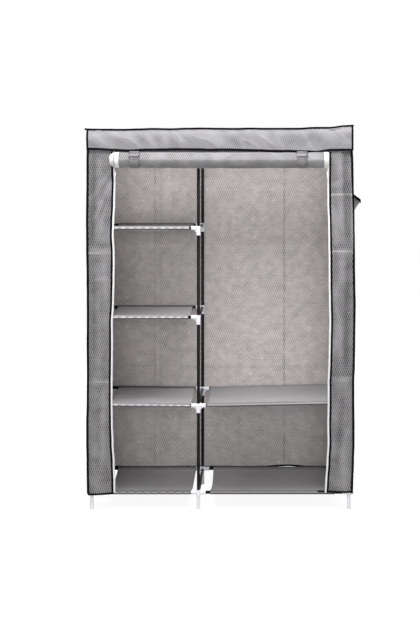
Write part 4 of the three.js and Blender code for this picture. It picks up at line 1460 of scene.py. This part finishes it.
def build_shelves():
    middle_y = (row_y["front"] + row_y["back"]) / 2
    half = (row_y["back"] - row_y["front"]) / 2
    for number, node in enumerate(sorted(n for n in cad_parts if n.startswith("shelf_"))):
        low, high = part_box(node)
        bay, level = node.split("_")[1:]
        columns = max(40, int((high.x - low.x) / (5 * MM)))
        past = 5 * MM if node == "shelf_left_base" else 0
        pucker_pitch, pucker_depth = PUCKERS[bay]
        lines = []
        for k, at in enumerate(np.linspace(low.x - 1 * MM, high.x + past, columns)):
            sag = SHELF_SAG * (0.75 + 0.25 * math.sin(math.pi * (k / (columns - 1))))
            pucker = pucker_depth * MM * (1 + math.sin(2 * math.pi * at / pucker_pitch))
            section = shelf_section(half, sag, pucker)
            height = level_z[level] + lift_at(bay, level, at)
            lines.append(joined(at, middle_y + section[:, 0], height + section[:, 1]))
        points = np.array(lines)
        run = run_along(points[0])
        on_sheet = np.clip((half - 12 * MM - np.abs(points[:, :, 1] - middle_y)) / (40 * MM), 0, 1)
        upper = points[:, :, 2] > level_z[level] - 30 * MM
        points[:, :, 2] += 0.9 * hung(points[:, :, 1], points[:, :, 0], 500 + 17 * number) * on_sheet * upper
        ends = np.minimum(points[:, :, 0] - low.x, high.x - points[:, :, 0])
        pull_in = PULL_IN * arch(np.clip((points[:, :, 1] - row_y["front"]) / (2 * half), 0, 1))
        way = np.where(points[:, :, 0] < (low.x + high.x) / 2, 1, -1)
        points[:, :, 0] += way * pull_in * np.clip(1 - ends / PULL_REACH, 0, 1)
        flat = joined(points[:, :, 0], run[None, :])
        material = shelf_cloth[bay, level]
        shelf = cloth(f"{node}_cloth", points, flat, (0, 0, 0), material, material, [node], "shelf_cloth")
        for row, inside in (("front", 1), ("back", -1)):
            seam_y = row_y[row] + inside * SLEEVE_SEAM
            found = np.argmin(np.abs(points[columns // 2, SEAM_SEARCH, 1] - seam_y)) + SEAM_SEARCH.start
            path = points[2:-2, found] + [0, 0, 0.6 * MM]
            stitch_row(f"{node}_stitches_{row}", path, np.array([0, 0, 1.0]), grey_thread, "shelf_cloth")


# Stage, light and camera

def emptied_tree(owner):
    owner.use_nodes = True
    owner.node_tree.nodes.clear()
    return owner.node_tree


def coloured(tree, kind, colour, strength=None):
    node = tree.nodes.new("ShaderNode" + kind)
    node.inputs["Color"].default_value = (*colour, 1)
    if strength is not None:
        node.inputs["Strength"].default_value = strength
    return node


def show_background(tree, output, lit, shown):
    """Feeds the output with lit, and with shown for camera, glossy and transmission rays."""
    rays = tree.nodes.new("ShaderNodeLightPath")
    seen = rays.outputs["Is Camera Ray"]
    for ray in ("Is Glossy Ray", "Is Transmission Ray"):
        either = tree.nodes.new("ShaderNodeMath")
        either.operation = "MAXIMUM"
        tree.links.new(seen, either.inputs[0])
        tree.links.new(rays.outputs[ray], either.inputs[1])
        seen = either.outputs[0]
    mix = tree.nodes.new("ShaderNodeMixShader")
    for socket, source in zip(mix.inputs, (seen, lit.outputs[0], shown.outputs[0])):
        tree.links.new(source, socket)
    tree.links.new(mix.outputs[0], tree.nodes.new("ShaderNodeOutput" + output).inputs["Surface"])


FLOOR_HALF = 9.0
# The floor's colour under the object, and the thin one that is seen under its glow
FLOOR_LIT = (0.65, 0.65, 0.65)
FLOOR_THIN = (0.24, 0.24, 0.245)
# How far from the object the floor's glow grows, and its strength before and after
FLOOR_FADE = (0.7, 1.5, 0.9, 1.02)
AMBIENT = 0.05


def build_stage():
    size = FLOOR_HALF
    corners = [(-size, -size, 0), (size, -size, 0), (size, size, 0), (-size, size, 0)]
    material = bpy.data.materials.new("white_floor")
    add_object("floor", new_mesh("floor", corners, [(0, 1, 2, 3)]), material)
    tree = emptied_tree(material)
    away = tree.nodes.new("ShaderNodeVectorMath")
    away.operation = "LENGTH"
    tree.links.new(tree.nodes.new("ShaderNodeTexCoord").outputs["Object"], away.inputs[0])
    fade = tree.nodes.new("ShaderNodeMapRange")
    fade.interpolation_type = "SMOOTHSTEP"
    for socket, value in zip(fade.inputs[1:], FLOOR_FADE):
        socket.default_value = value
    tree.links.new(away.outputs["Value"], fade.inputs["Value"])
    glow = tree.nodes.new("ShaderNodeEmission")
    tree.links.new(fade.outputs[0], glow.inputs["Strength"])
    both = tree.nodes.new("ShaderNodeAddShader")
    thin = coloured(tree, "BsdfDiffuse", FLOOR_THIN)
    for socket, source in zip(both.inputs, (thin, glow)):
        tree.links.new(source.outputs[0], socket)
    show_background(tree, "Material", coloured(tree, "BsdfDiffuse", FLOOR_LIT), both)


def build_world():
    world = bpy.data.worlds.new("studio")
    bpy.context.scene.world = world
    tree = emptied_tree(world)
    lit = coloured(tree, "Background", (0.97, 0.98, 1.0), AMBIENT)
    show_background(tree, "World", lit, coloured(tree, "Background", (1, 1, 1)))


def area_light(name, place_at, aim, width, height, power):
    light = bpy.data.lights.new(name, "AREA")
    light.shape = "RECTANGLE"
    light.size = width
    light.size_y = height
    light.energy = power
    lamp = bpy.data.objects.new(name, light)
    bpy.context.scene.collection.objects.link(lamp)
    lamp.location = place_at
    from_to = np.array(aim, float) - np.array(place_at, float)
    lamp.rotation_mode = "QUATERNION"
    lamp.rotation_quaternion = mathutils.Vector(from_to).to_track_quat("-Z", "Y")


def build_lights():
    area_light("softbox_front", (0, -5.6, 1.3), (0, 0, 0.9), 3.0, 2.0, 129)
    area_light("softbox_above", (0, -1.9, 3.2), (0, -0.1, 1.1), 3.0, 1.0, 70)
    area_light("softbox_overhead", (0, -1.1, 3.5), (0, -0.1, 1.1), 3.0, 1.0, 71)
    for side in SIDES:
        area_light(f"softbox_rear_{side}", (outward[side] * 3.4, 4.2, 1.7), (0, 0.2, 0.9), 2.0, 2.0, 75)
    # Daylight that the thin top panel lets through
    area_light("light_through_top", (0, 0.03, 1.625), (0, 0.03, 0), 1.05, 0.34, 2.0)


CAMERA_PLACE = (0.121, -5.005, 1.413)
CAMERA_LENS = 62.72
CAMERA_SENSOR = 36
CAMERA_SHIFT = (-0.0667, -0.20071)


def build_camera():
    data = bpy.data.cameras.new("camera")
    data.lens = CAMERA_LENS
    data.sensor_width = CAMERA_SENSOR
    data.shift_x, data.shift_y = CAMERA_SHIFT
    camera = bpy.data.objects.new("camera", data)
    bpy.context.scene.collection.objects.link(camera)
    camera.location = CAMERA_PLACE
    camera.rotation_euler = (math.radians(90), 0, 0)
    bpy.context.scene.camera = camera


for build in (build_camera, build_world, build_lights, build_stage, build_tubes, build_connectors,
              build_cover, build_pocket, build_roll, build_zippers, build_shelves):
    build()

bpy.context.scene.view_settings.view_transform = "Standard"
